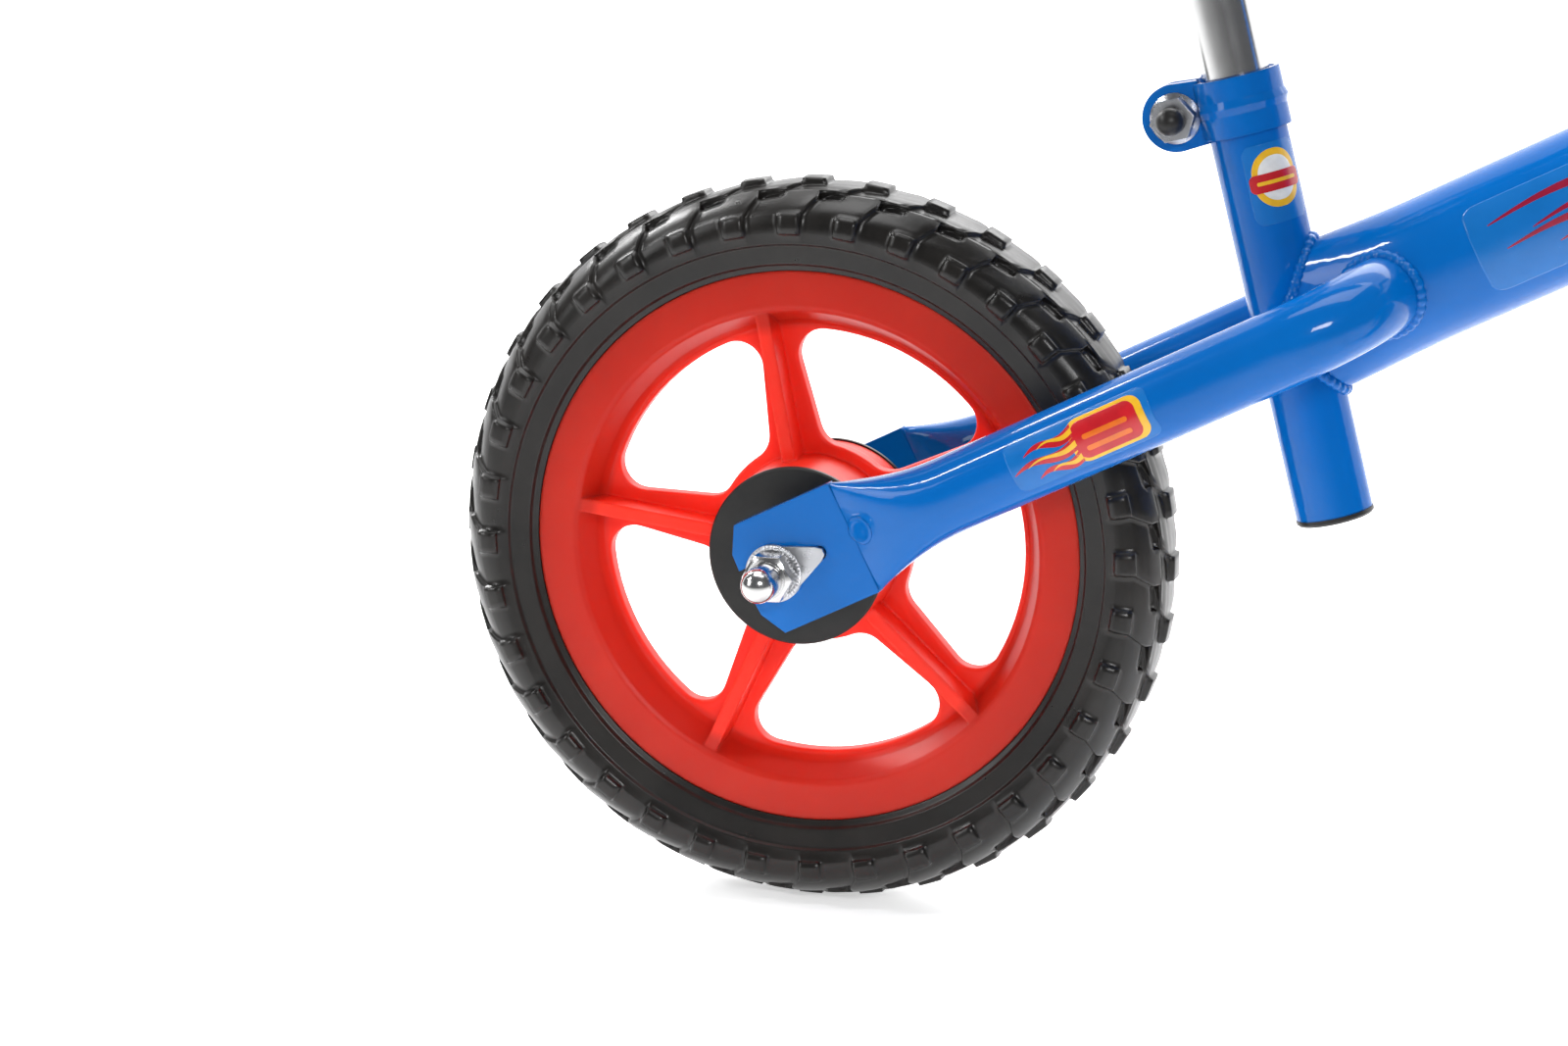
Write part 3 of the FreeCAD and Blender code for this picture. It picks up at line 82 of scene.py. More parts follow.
def gridFaces(rows, columns, closeRows=False, closeColumns=False, flip=False):
    # quads of a rows x columns grid of points, wrapped round where an end is closed
    r = np.arange(rows if closeRows else rows - 1)
    c = np.arange(columns if closeColumns else columns - 1)
    r, c = np.meshgrid(r, c, indexing="ij")
    a = (r * columns + c).ravel()
    b = (r * columns + (c + 1) % columns).ravel()
    d = (((r + 1) % rows) * columns + c).ravel()
    e = (((r + 1) % rows) * columns + (c + 1) % columns).ravel()
    quads = np.stack([a, b, e, d] if flip else [a, d, e, b], axis=1)
    return quads.tolist()


def smoothStep(x):
    # 3x^2 - 2x^3, held at 0 and 1 outside that range
    x = np.clip(x, 0, 1)
    return x * x * (3 - 2 * x)


def sharpen(piece, degrees):
    # keeps edges crisp where the surface turns by more than the angle
    piece.data.set_sharp_from_angle(angle=np.radians(degrees))


def finishPiece(piece, body, material, replaced=()):
    # gives a piece its material and body, and hides the nodes that it stands in for
    piece.data.materials.clear()
    piece.data.materials.append(material)
    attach(piece, body)
    if replaced:
        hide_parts(*replaced)
    return piece


class Nodes:
    # a short way to write a material's node tree

    def __init__(self, name):
        self.material = bpy.data.materials.new(name)
        self.material.use_nodes = True
        self.tree = self.material.node_tree
        self.shader = self.tree.nodes["Principled BSDF"]
        self.where = self.tree.nodes.new("ShaderNodeTexCoord").outputs["Object"]

    def add(self, kind, inputs=None, **settings):
        node = self.tree.nodes.new("ShaderNode" + kind)
        for key, value in settings.items():
            setattr(node, key, value)
        for key, value in (inputs or {}).items():
            self.put(node.inputs[key], value)
        return node

    def put(self, socket, value):
        if isinstance(value, bpy.types.NodeSocket):
            self.tree.links.new(value, socket)
        else:
            socket.default_value = value

    def set(self, **values):
        names = {"color": "Base Color", "rough": "Roughness", "metal": "Metallic",
                 "coat": "Coat Weight", "coatRough": "Coat Roughness", "normal": "Normal",
                 "specular": "Specular IOR Level", "subsurface": "Subsurface Weight"}
        for key, value in values.items():
            self.put(self.shader.inputs[names[key]], value)
        return self.material

    def noise(self, scale, detail=4.0, rough=0.55, where=None, distortion=0.0):
        node = self.add("TexNoise", {"Vector": where or self.where, "Scale": scale,
                                     "Detail": detail, "Roughness": rough,
                                     "Distortion": distortion})
        return node.outputs["Fac"]

    def ramp(self, value, *stops):
        # two stops, each a place from 0 to 1 and a colour
        node = self.add("ValToRGB", {"Fac": value})
        elements = node.color_ramp.elements
        for element, (place, colour) in zip(elements, stops):
            element.position = place
            element.color = (*colour, 1)
        return node.outputs["Color"]

    def level(self, value, low, high, fromLow=0.0, fromHigh=1.0):
        # carries the range fromLow..fromHigh over to low..high
        node = self.add("MapRange", {"Value": value, "From Min": fromLow, "From Max": fromHigh,
                                     "To Min": low, "To Max": high})
        return node.outputs["Result"]

    def math(self, kind, a, b=0.0):
        node = self.add("Math", {0: a, 1: b}, operation=kind)
        return node.outputs[0]

    def mix(self, amount, a, b):
        node = self.add("Mix", {"Factor": amount}, data_type="RGBA")
        self.put(node.inputs[6], a if isinstance(a, bpy.types.NodeSocket) else (*a, 1))
        self.put(node.inputs[7], b if isinstance(b, bpy.types.NodeSocket) else (*b, 1))
        return node.outputs[2]

    def bump(self, height, strength, distance, normal=None):
        inputs = {"Height": height, "Strength": strength, "Distance": distance}
        if normal is not None:
            inputs["Normal"] = normal
        return self.add("Bump", inputs).outputs["Normal"]

    def softEdge(self, radius):
        # shades corners as if they were rounded to the radius
        return self.add("Bevel", {"Radius": radius}, samples=6).outputs["Normal"]


# materials

enamelLook = dict(blue=(0.0004, 0.132, 0.480), dark=(0.0004, 0.108, 0.410), rough=0.22,
                  coat=0.48, coatRough=0.03, specular=0.04, toneScale=9.0, dustScale=900.0,
                  rippleScale=38.0, ripple=0.07, rippleDepth=0.0006, edge=0.0011)


def enamel():
    # gloss enamel: a slight waviness of the paint, faint dust specks and a hard clear top
    look = enamelLook
    n = Nodes("blueEnamel")
    wave = n.noise(look["rippleScale"], detail=2.0)
    tone = n.ramp(n.noise(look["toneScale"]), (0.3, look["dark"]), (0.7, look["blue"]))
    dust = n.noise(look["dustScale"], detail=2.0)
    rough = n.level(dust, look["rough"] - 0.03, look["rough"] + 0.05)
    skin = n.bump(wave, look["ripple"], look["rippleDepth"], n.softEdge(look["edge"]))
    return n.set(color=tone, rough=rough, coat=look["coat"], specular=look["specular"],
                 coatRough=look["coatRough"], normal=skin)


# thick scales the red down on the band outside the spokes as painted shade; the two radii set where the spokes'
# lighter red, painted light coming through the thin plastic, turns into it
redLook = dict(bright=(0.860, 0.034, 0.015), deep=(0.780, 0.026, 0.012), thick=0.62, rough=0.38,
               spokeGlowRadius=0.073, bandShadeRadius=0.077, flowScale=26.0, grainScale=2600.0, grain=0.10,
               grainDepth=0.0001, edge=0.0016, specular=0.22, subsurface=0.45,
               through=(1.0, 0.14, 0.08), throughScale=0.010)


def axleDistance(n):
    # distance in the wheel's plane from the nearer of the two axles
    near = None
    for axle in (rearAxle, frontAxle):
        away = n.add("VectorMath", {0: n.where, 1: Vector(axle)}, operation="SUBTRACT").outputs[0]
        flat = n.add("VectorMath", {0: away, 1: (1, 0, 1)}, operation="MULTIPLY").outputs[0]
        far = n.add("VectorMath", {0: flat}, operation="LENGTH").outputs["Value"]
        near = far if near is None else n.math("MINIMUM", near, far)
    return near


def redPlastic():
    # moulded plastic: slight flow marks in colour and gloss, fine spark-eroded grain; the band outside the spokes,
    # whose wall is thicker, is given a darker red as painted shade, and the thin spokes keep a lighter red as
    # painted light shining through them
    look = redLook
    n = Nodes("redPlastic")
    flow = n.noise(look["flowScale"], detail=3.0, distortion=0.6)
    spokeGlowRed = n.ramp(flow, (0.25, look["deep"]), (0.75, look["bright"]))
    thick = n.ramp(flow, (0.25, tuple(look["thick"] * v for v in look["deep"])),
                   (0.75, tuple(look["thick"] * v for v in look["bright"])))
    # painted glow on the spokes turning into painted shade on the band, set by distance from the axle
    band = n.level(axleDistance(n), 0.0, 1.0, look["spokeGlowRadius"], look["bandShadeRadius"])
    tone = n.mix(band, spokeGlowRed, thick)
    rough = n.level(n.noise(60.0), look["rough"] - 0.05, look["rough"] + 0.07)
    grain = n.noise(look["grainScale"], detail=1.0)
    n.put(n.shader.inputs["Subsurface Radius"], look["through"])
    n.put(n.shader.inputs["Subsurface Scale"], look["throughScale"])
    skin = n.bump(grain, look["grain"], look["grainDepth"], n.softEdge(look["edge"]))
    return n.set(color=tone, rough=rough, subsurface=look["subsurface"],
                 specular=look["specular"], normal=skin)


foamLook = dict(dark=(0.005, 0.0044, 0.0039), worn=(0.014, 0.0120, 0.0104), rough=0.30,
                specular=0.38, cloudScale=42.0, poreScale=1500.0)


def foam():
    # closed-cell foam: satin skin with pores and soft clouds of lighter wear
    n = Nodes("tyreFoam")
    cloud = n.noise(foamLook["cloudScale"], detail=5.0)
    tone = n.ramp(cloud, (0.3, foamLook["dark"]), (0.75, foamLook["worn"]))
    rough = n.level(n.noise(110.0, detail=4.0), foamLook["rough"] - 0.09, foamLook["rough"] + 0.12)
    cells = n.add("TexVoronoi", {"Vector": n.where, "Scale": foamLook["poreScale"]})
    pores = cells.outputs["Distance"]
    skin = n.bump(pores, 0.10, 0.0001)
    soft = n.bump(cloud, 0.14, 0.0008, skin)
    return n.set(color=tone, rough=rough, normal=soft,
                 specular=foamLook["specular"])


def plastic(name, dark, light, rough, grainScale, grain):
    # pigmented plastic with a moulded grain
    n = Nodes(name)
    tone = n.ramp(n.noise(70.0), (0.3, dark), (0.7, light))
    cells = n.add("TexVoronoi", {"Vector": n.where, "Scale": grainScale}).outputs["Distance"]
    shine = n.level(n.noise(35.0), rough - 0.05, rough + 0.08)
    return n.set(color=tone, rough=shine, specular=0.35, normal=n.bump(cells, grain, 0.00012))


def metal(name, tint, rough, spread, streak, pits):
    # plated steel: brightness and gloss vary in soft patches, with fine pits
    n = Nodes(name)
    stretched = n.add("Mapping", {"Vector": n.where, "Scale": (1.0, 1.0, streak)}).outputs[0]
    patch = n.noise(90.0, detail=3.0, where=stretched)
    darker = tuple(0.84 * v for v in tint)
    tone = n.ramp(patch, (0.25, darker), (0.75, tint))
    shine = n.level(n.noise(140.0, where=stretched), rough, rough + spread)
    fine = n.noise(1400.0, detail=2.0)
    return n.set(color=tone, rough=shine, metal=1.0,
                 normal=n.bump(fine, pits, 0.00008, n.softEdge(0.0003)))


paint = enamel()
red = redPlastic()
tyreFoam = foam()
blackPlastic = plastic("blackPlastic", (0.010, 0.010, 0.010), (0.018, 0.017, 0.016), 0.38, 1400.0, 0.10)
saddlePlastic = plastic("saddlePlastic", (0.012, 0.012, 0.012), (0.020, 0.020, 0.020), 0.5, 900.0, 0.25)
gripRubber = plastic("gripRubber", (0.011, 0.011, 0.011), (0.019, 0.019, 0.019), 0.62, 1100.0, 0.2)
barEnamel = plastic("barEnamel", (0.008, 0.008, 0.009), (0.012, 0.012, 0.013), 0.22, 300.0, 0.03)
chrome = metal("chrome", (0.66, 0.66, 0.66), 0.13, 0.10, 0.4, 0.03)
zinc = metal("zinc", (0.60, 0.61, 0.64), 0.22, 0.12, 1.0, 0.025)
bearingSteel = metal("bearingSteel", (0.55, 0.55, 0.57), 0.16, 0.10, 1.0, 0.05)
vinyl = plastic("saddleVinyl", (0.012, 0.012, 0.013), (0.020, 0.020, 0.021), 0.45, 700.0, 0.35)

slotMaterial = {
    "frame_paint": paint, "wheel_plastic": red, "tyre_foam": tyreFoam,
    "black_plastic": blackPlastic, "saddle_plastic": saddlePlastic, "saddle_cover": vinyl,
    "grip_rubber": gripRubber, "bar_finish": barEnamel, "chrome": chrome,
    "bearing_steel": bearingSteel, "zinc_steel": zinc,
}


def dressNodes():
    for part in frame["record"]["subparts"]:
        mesh = frame["nodes"][part["node"]].data
        mesh.materials.clear()
        mesh.materials.append(slotMaterial[part["material_slot"]])


dressNodes()
print("materials made:", len(bpy.data.materials))


# tyres

tyreShape = dict(pitches=36, crown=122.4, widest=20.4, widestRadius=109.0, lug=2.45,
                 plate=1.7, notch=2.6, square=1.35, bevel=0.036, lugEnd=0.40, lugHalf=4.4,
                 notchFrom=11.1, notchTo=14.0, squareFrom=21.5, squareTo=27.6, edge=0.8)

# corners of the sidewall below the widest point: (radius, distance from the middle plane)
sidewall = [(109.0, 20.4), (104.6, 19.7), (103.8, 18.5), (97.6, 17.3), (96.8, 15.9), (94.95, 15.0),
            (94.95, 12.5), (88.2, 12.5)]


def halfProfile(v):
    # a quarter ellipse from the crown to the widest point, then the sidewall's straight runs;
    # v is the distance along it from the crown, in mm
    t = tyreShape
    turn = np.linspace(0, np.pi / 2, 400)
    radius = t["widestRadius"] + (t["crown"] - t["widestRadius"]) * np.cos(turn)
    away = t["widest"] * np.sin(turn)
    low = np.array(sidewall[1:])
    radius = np.concatenate([radius, low[:, 0]])
    away = np.concatenate([away, low[:, 1]])
    length = np.concatenate([[0], np.cumsum(np.hypot(np.diff(radius), np.diff(away)))])
    return np.interp(v, length, radius), np.interp(v, length, away), length


def near(places, half):
    # each place with a line just before and just behind it
    return [place + step for place in places for step in (-half, 0.0, half)]


def acrossLines():
    # lines across half of the tyre, three at each edge that is to look rounded
    corners = halfProfile(0.0)[2][400:]
    even = [0.0, 1.5, 3.0, 6.2, 7.4, 8.8, 12.0, 13.0, 16.0, 18.0, 19.8, 23.5, 25.5, 29.2, 30.4,
            35.0, 37.2]
    return np.array(sorted(even + near([4.8, 10.7, 14.0, 21.5, 27.6], 0.4)
                           + near(corners[:-2], 0.35) + list(corners[-2:])))


def aroundLines():
    # lines within one pitch, closer together at the step, the lug's and notch's end and the square
    return np.array([0.0, 0.018, 0.036, 0.12, 0.21, 0.30, 0.40, 0.42, 0.44, 0.51, 0.585, 0.605,
                     0.625, 0.72, 0.81, 0.88, 0.93, 0.97])


def window(x, low, high, edge):
    # 1 between low and high, falling smoothly to 0 over the edge's width on either side
    return smoothStep((x - low) / edge + 0.5) * smoothStep((high - x) / edge + 0.5)


def treadHeight(u, v):
    # height over the carcass at pitch position u (0..1) and distance v from the crown: a plate
    # that rises along the pitch and drops at its step, a lug on the crown, a notch in the
    # shoulder and a square block on the side
    t = tyreShape
    climb = np.clip((u - t["bevel"]) / (1 - t["bevel"]), 0, 1) ** 0.8
    climb = climb - 0.14 * smoothStep((u - 0.88) / 0.12)
    drop = 0.86 * (1 - smoothStep(u / t["bevel"]))
    reach = np.interp(v, [0, 5, 7, 20, 27.6, 30.5], [0.55, 0.75, 1.0, 1.0, 0.40, 0.0])
    plate = t["plate"] * reach * np.where(u < t["bevel"], drop, climb)
    firstHalf = smoothStep(u / t["bevel"]) * (1 - smoothStep((u - t["lugEnd"]) / 0.04))
    lug = t["lug"] * firstHalf * (1 - smoothStep((v - t["lugHalf"]) / t["edge"]))
    notch = t["notch"] * firstHalf * window(v, t["notchFrom"], t["notchTo"], t["edge"])
    block = smoothStep((u - 0.585) / 0.04) * (1 - smoothStep((u - 0.985) / 0.015))
    square = t["square"] * block * window(v, t["squareFrom"], t["squareTo"], t["edge"])
    return np.maximum(plate, lug) - notch + square


def stepShift(v):
    # how far round the step line has moved, in pitches: a zigzag from the side to the crown
    return np.interp(v, [0, 5.2, 10.3, 11.1, 14.4, 21.5, 60], [0.80, 0.80, 0.62, 0.20, 0.20, 0, 0])


def tyrePiece(name, axle, node, body):
    # the half profile and its mirror image, turned about the axle and raised along its normal
    t = tyreShape
    half = acrossLines()
    radius, away, _ = halfProfile(half)
    ahead = halfProfile(half + 0.05)
    behind = halfProfile(np.maximum(half - 0.05, 0))
    slopeRadius, slopeAway = ahead[0] - behind[0], ahead[1] - behind[1]
    size = np.hypot(slopeRadius, slopeAway)
    outRadius, outAway = slopeAway / size, -slopeRadius / size
    sides = np.concatenate([-np.ones(len(half)), np.ones(len(half) - 1)])
    order = np.concatenate([np.arange(len(half))[::-1], np.arange(1, len(half))])
    pitch = aroundLines()
    u = np.tile(pitch, t["pitches"])[:, None]
    turn = (np.arange(t["pitches"])[:, None] + pitch[None, :]).reshape(-1, 1)
    v = half[order][None, :]
    height = treadHeight(u, v)
    angle = -(turn + stepShift(v)) * 2 * np.pi / t["pitches"]
    r = (radius[order] + height * outRadius[order]) * mm
    y = sides * (away[order] + height * outAway[order]) * mm
    y = np.broadcast_to(y, r.shape)
    points = np.stack([r * np.cos(angle), y, r * np.sin(angle)], axis=-1).reshape(-1, 3) + axle
    piece = meshPiece(name, points, gridFaces(len(turn), len(order), True, True))
    return finishPiece(piece, body, tyreFoam, [node])


tyrePiece("rearTyre", rearAxle, "rear_tyre", "rear_wheel")
tyrePiece("frontTyre", frontAxle, "front_tyre", "front_wheel")
print("tyres made")


# tubes' sizes in mm, as in the frame, for what lies on them; an end is the main tube's half
# width and half height there

tubes = dict(rise=26.8, seatCross=180.3, seatRadius=12.7, mainRadius=23.0, press=52.0,
             stayReach=215.0, stayRadius=12.7, stayOffset=46.0, headRadius=17.0,
             headCross=242.0, crown=166.0, rake=25.0, rearEnd=(13.3, 24.6),
             frontEnd=(17.4, 25.4), bladeGap=3.2)

rise = np.radians(tubes["rise"])
mainDir = np.array([np.cos(rise), 0, np.sin(rise)])
mainUp = np.array([-np.sin(rise), 0, np.cos(rise)])
leftward = np.array([0.0, 1.0, 0.0])
seatPoint = rearAxle + mainDir * tubes["seatCross"] * mm
seatFront = np.array([seatDir[2], 0, -seatDir[0]])
headFront = np.array([headDir[2], 0, -headDir[0]])
headZero = frontAxle - headFront * tubes["rake"] * mm


# weld beads

beadLook = dict(radius=1.75, ripple=0.28, pitch=2.6, around=12)


def closedTube(name, path, radius, ripple, pitch, around):
    # a tube round a closed path: radius r (1 + k |cos(pi s / pitch)|) at distance s along it
    path = np.asarray(path)
    step = np.linalg.norm(np.roll(path, -1, 0) - path, axis=1)
    length = np.concatenate([[0], np.cumsum(step)])
    count = max(24, int(length[-1] / mm / 0.5))
    spots = np.linspace(0, length[-1], count, endpoint=False)
    loop = np.vstack([path, path[:1]])
    line = np.stack([np.interp(spots, length, loop[:, i]) for i in range(3)], axis=1)
    ahead = np.roll(line, -1, 0) - np.roll(line, 1, 0)
    ahead /= np.linalg.norm(ahead, axis=1)[:, None]
    out = line - line.mean(0)
    out -= (out * ahead).sum(1)[:, None] * ahead
    out /= np.linalg.norm(out, axis=1)[:, None]
    across = np.cross(ahead, out)
    turn = np.arange(around) * 2 * np.pi / around
    swell = 1 + ripple * np.abs(np.cos(np.pi * spots / mm / pitch))
    r = (radius * mm * swell)[:, None, None]
    points = (line[:, None] + r * (np.cos(turn)[None, :, None] * out[:, None]
                                   + np.sin(turn)[None, :, None] * across[:, None]))
    return meshPiece(name, points.reshape(-1, 3), gridFaces(count, around, True, True, flip=True))


def beadPiece(name, path, body):
    # a rippled bead laid along a seam
    bead = closedTube(name, path, beadLook["radius"], beadLook["ripple"], beadLook["pitch"],
                      beadLook["around"])
    return finishPiece(bead, body, paint)


def pressedHalf(x, narrow, tall):
    # the main tube's half width and half height, x mm from its pressed end, by smoothStep
    ease = smoothStep(x / tubes["press"])
    return (narrow + (tubes["mainRadius"] - narrow) * ease,
            tall + (tubes["mainRadius"] - tall) * ease)


def endSeam(centre, axis, front, radius, narrow, tall):
    # where an upright tube meets the main tube's oval end: y = R sin a, and the height along
    # the upright that gives the oval's Y = +-tall sqrt(1 - (y / narrow)^2) there
    turn = np.radians(np.linspace(-88, 88, 60))
    sides = []
    for sign in (1, -1):
        a = turn[::sign]
        y = radius * np.sin(a)
        rim = sign * tall * np.sqrt(1 - (y / narrow) ** 2)
        along = (rim - radius * np.cos(a) * (front @ mainUp)) / (axis @ mainUp)
        sides.append(centre + mm * (radius * np.cos(a)[:, None] * front + y[:, None] * leftward
                                    + along[:, None] * axis))
    return np.vstack(sides)


def staySeam(sign):
    # circle of the stay's leg laid on the main tube's side
    t = tubes
    turn = np.linspace(0, 2 * np.pi, 80, endpoint=False)
    a, b = t["stayRadius"] * np.cos(turn), t["stayRadius"] * np.sin(turn)
    wide, high = pressedHalf(t["stayReach"] + a - t["seatCross"], *t["rearEnd"])
    y = sign * wide * np.sqrt(1 - (b / high) ** 2)
    return rearAxle + mm * ((t["stayReach"] + a)[:, None] * mainDir + b[:, None] * mainUp
                            + y[:, None] * leftward)


def bladeSeam(sign):
    # circle of the fork blade's leg laid on the steerer
    t = tubes
    turn = np.linspace(0, 2 * np.pi, 80, endpoint=False)
    a, b = t["stayRadius"] * np.cos(turn), t["stayRadius"] * np.sin(turn)
    y = sign * np.maximum(np.abs(b), t["bladeGap"])
    crown = headZero + headDir * t["crown"] * mm
    return crown + mm * (a[:, None] * headFront + b[:, None] * headDir + y[:, None] * leftward)


def weldBeads():
    # one bead at each joint of the tubes
    t = tubes
    beadPiece("seatWeld",
              endSeam(seatPoint, seatDir, seatFront, t["seatRadius"], *t["rearEnd"]), "frame")
    headPoint = headZero + headDir * t["headCross"] * mm
    beadPiece("headWeld",
              endSeam(headPoint, headDir, -headFront, t["headRadius"], *t["frontEnd"]), "frame")
    for sign, word in ((-1, "Right"), (1, "Left")):
        beadPiece("stayWeld" + word, staySeam(sign), "frame")
        beadPiece("bladeWeld" + word, bladeSeam(sign), "fork")


weldBeads()
print("weld beads made")


# pressed ring marks just behind the fold of each stay

ringMark = dict(along=33.9, up=1.6, rim=3.9, rimWidth=0.9, rimHeight=0.28, floor=0.14, edge=5.2,
                sink=0.3, rings=16, around=40, thick=0.3, inner=0.35, slant=(0.42, 0.88, 0.21),
                outside=50, standOff=0.012)


def pressMark(name, node, sign):
    # a disc laid on the stay by casting rays: height floor + rimHeight exp(-((r - rim) / w)^2)
    m = ringMark
    stay = frame["nodes"][node]
    inward = unit(np.array(m["slant"]) * (1, -sign, 1))
    spot = (rearAxle + mm * (m["along"] * mainDir + m["up"] * mainUp)
            + sign * leftward * m["outside"] * mm)
    side = unit(np.cross(inward, mainUp))
    over = np.cross(side, inward)
    back = stay.matrix_world.inverted()
    r = np.linspace(m["inner"], m["edge"], m["rings"])
    turn = np.arange(m["around"]) * 2 * np.pi / m["around"]
    height = m["floor"] + m["rimHeight"] * np.exp(-((r - m["rim"]) / m["rimWidth"]) ** 2)
    height[-1] = -m["sink"]
    points = []
    for radius, lift in zip(np.append(r, 0.0), np.append(height, m["floor"])):
        for a in (turn if radius else turn[:1]):
            start = (spot + mm * radius * (np.cos(a) * side + np.sin(a) * over)
                     - inward * m["standOff"])
            hit, place, _, _ = stay.ray_cast(back @ Vector(start), back.to_3x3() @ Vector(inward))
            ground = np.array(stay.matrix_world @ place) if hit else start + inward * m["standOff"]
            points.append(ground - inward * lift * mm)
    faces = gridFaces(m["rings"], m["around"], closeColumns=True)
    pole = len(points) - 1
    faces += [[k, (k + 1) % m["around"], pole] for k in range(m["around"])]
    mark = meshPiece(name, points, faces)
    body = mark.modifiers.new("body", "SOLIDIFY")
    body.thickness = m["thick"] * mm
    body.offset = -1.0
    return finishPiece(mark, "frame", paint)


pressMark("pressMarkRight", "stay_right", -1)
pressMark("pressMarkLeft", "stay_left", 1)


# stickers: clear film with plain stripes printed on it

printColours = dict(red=(0.55, 0.010, 0.018), orange=(0.80, 0.16, 0.010),
                    yellow=(0.86, 0.48, 0.020), white=(0.80, 0.80, 0.78),
                    crimson=(0.30, 0.006, 0.035))


def printed(name, colour):
    # gloss print: ink density varies a little, under a smooth film
    n = Nodes(name)
    darker = tuple(0.82 * v for v in colour)
    tone = n.ramp(n.noise(180.0, detail=3.0), (0.3, darker), (0.7, colour))
    return n.set(color=tone, rough=n.level(n.noise(90.0), 0.16, 0.26), coat=0.4, coatRough=0.06)


def clearFilm():
    # the enamel seen through film: a little lighter and flatter
    n = Nodes("clearFilm")
    tone = n.ramp(n.noise(60.0), (0.3, (0.004, 0.135, 0.440)), (0.7, (0.006, 0.155, 0.500)))
    return n.set(color=tone, rough=n.level(n.noise(120.0), 0.20, 0.30), coat=0.6,
                 coatRough=0.08, specular=0.15)


film = clearFilm()
inks = {word: printed("ink" + word.title(), colour) for word, colour in printColours.items()}

patchGrid = dict(long=36, wide=26, sink=0.35, thick=0.3)


def tubePatch(name, tube, start, end, lower, upper, lift, material):
    # a skin bent round a tube: s from start to end along it, and round it from lower(t) to
    # upper(t) mm, t = 0..1, raised by the lift with its border sunk into the tube
    g = patchGrid
    t = 0.5 - 0.5 * np.cos(np.linspace(0, np.pi, g["long"]))
    w = 0.5 - 0.5 * np.cos(np.linspace(0, np.pi, g["wide"]))
    s = start + (end - start) * t
    low, high = lower(t), upper(t)
    arc = low[:, None] + (high - low)[:, None] * w[None, :]
    height = np.full(arc.shape, lift)
    height[0] = height[-1] = -g["sink"]
    height[:, 0] = height[:, -1] = -g["sink"]
    angle = arc / tube["radius"]
    r = (tube["radius"] + height)[..., None] * mm
    points = (tube["origin"] + s[:, None, None] * mm * tube["along"]
              + r * (np.cos(angle)[..., None] * tube["out"] + np.sin(angle)[..., None] * tube["up"]))
    facing = np.cross(tube["along"], tube["up"]) @ tube["out"]
    patch = meshPiece(name, points.reshape(-1, 3),
                      gridFaces(g["long"], g["wide"], flip=facing < 0))
    body = patch.modifiers.new("body", "SOLIDIFY")
    body.thickness = g["thick"] * mm
    body.offset = -1.0
    return finishPiece(patch, "frame", material)


def rounded(length, half, corner, middle=0.0):
    # the two edges of a rectangle with rounded corners
    def edge(sign):
        def place(t):
            near = np.minimum(np.minimum(t, 1 - t) * length, corner)
            return middle + sign * (half - corner + np.sqrt(corner ** 2 - (corner - near) ** 2))
        return place
    return edge(-1), edge(1)


def swoosh(foot, tip, thick, sway, closing=0.0):
    # the two edges of a stripe that thins towards its tip at t = 0, and over the closing share
    # of its length towards t = 1, and sways on the way
    def edge(sign):
        def place(t):
            line = tip + (foot - tip) * t + sway * np.sin(2 * np.pi * t)
            end = smoothStep((1 - t) / closing) if closing else 1.0
            return line + sign * thick * (0.04 + 0.96 * t ** 0.8 * end) / 2
        return place
    return edge(-1), edge(1)


def stayStickers(sign, word):
    # a badge with two bars and three trailing flames; places along and across in mm
    tube = dict(origin=rearAxle + sign * leftward * tubes["stayOffset"] * mm, along=mainDir,
                up=mainUp, out=sign * leftward, radius=tubes["stayRadius"])
    tubePatch("stayFilm" + word, tube, 91, 142, *rounded(51, 9.2, 3.5), 0.05, film)
    tubePatch("stayBadge" + word, tube, 113, 139.5, *rounded(26.5, 7.8, 4.5), 0.09, inks["yellow"])
    tubePatch("stayPanel" + word, tube, 114.4, 137.0, *rounded(22.6, 6.5, 3.4), 0.13, inks["red"])
    for number, middle in enumerate((-3.1, 0.9)):
        tubePatch("stayBar%s%d" % (word, number), tube, 117.5, 133.5,
                  *rounded(16, 0.85, 0.8, middle), 0.17, inks["orange"])
    for number, (foot, tip, far) in enumerate(((4.6, 2.5, 97), (0.2, -2.0, 92), (-4.4, -6.2, 99))):
        tubePatch("stayTrail%s%d" % (word, number), tube, far, 115,
                  *swoosh(foot, tip, 4.4, 1.1), 0.09, inks["red"])
        tubePatch("stayFlash%s%d" % (word, number), tube, far + 5, 115,
                  *swoosh(foot, tip + 0.6, 1.9, 0.8), 0.13, inks["yellow"])


def mainStickers(sign, word):
    # four stripes that thin out towards the rear: (foot, tip, start, end) in mm
    tube = dict(origin=rearAxle, along=mainDir, up=mainUp, out=sign * leftward,
                radius=tubes["mainRadius"])
    tubePatch("mainFilm" + word, tube, 248, 372, *rounded(124, 15.5, 5.0), 0.05, film)
    stripes = ((8.5, 7.0, 255, 350), (2.5, 1.0, 268, 356), (-4.0, -2.0, 258, 350),
               (-9.5, -6.5, 274, 344))
    for number, (foot, tip, far, end) in enumerate(stripes):
        tubePatch("mainTrail%s%d" % (word, number), tube, far, end,
                  *swoosh(foot, tip, 6.4, 2.2, 0.45), 0.12, inks["crimson"])


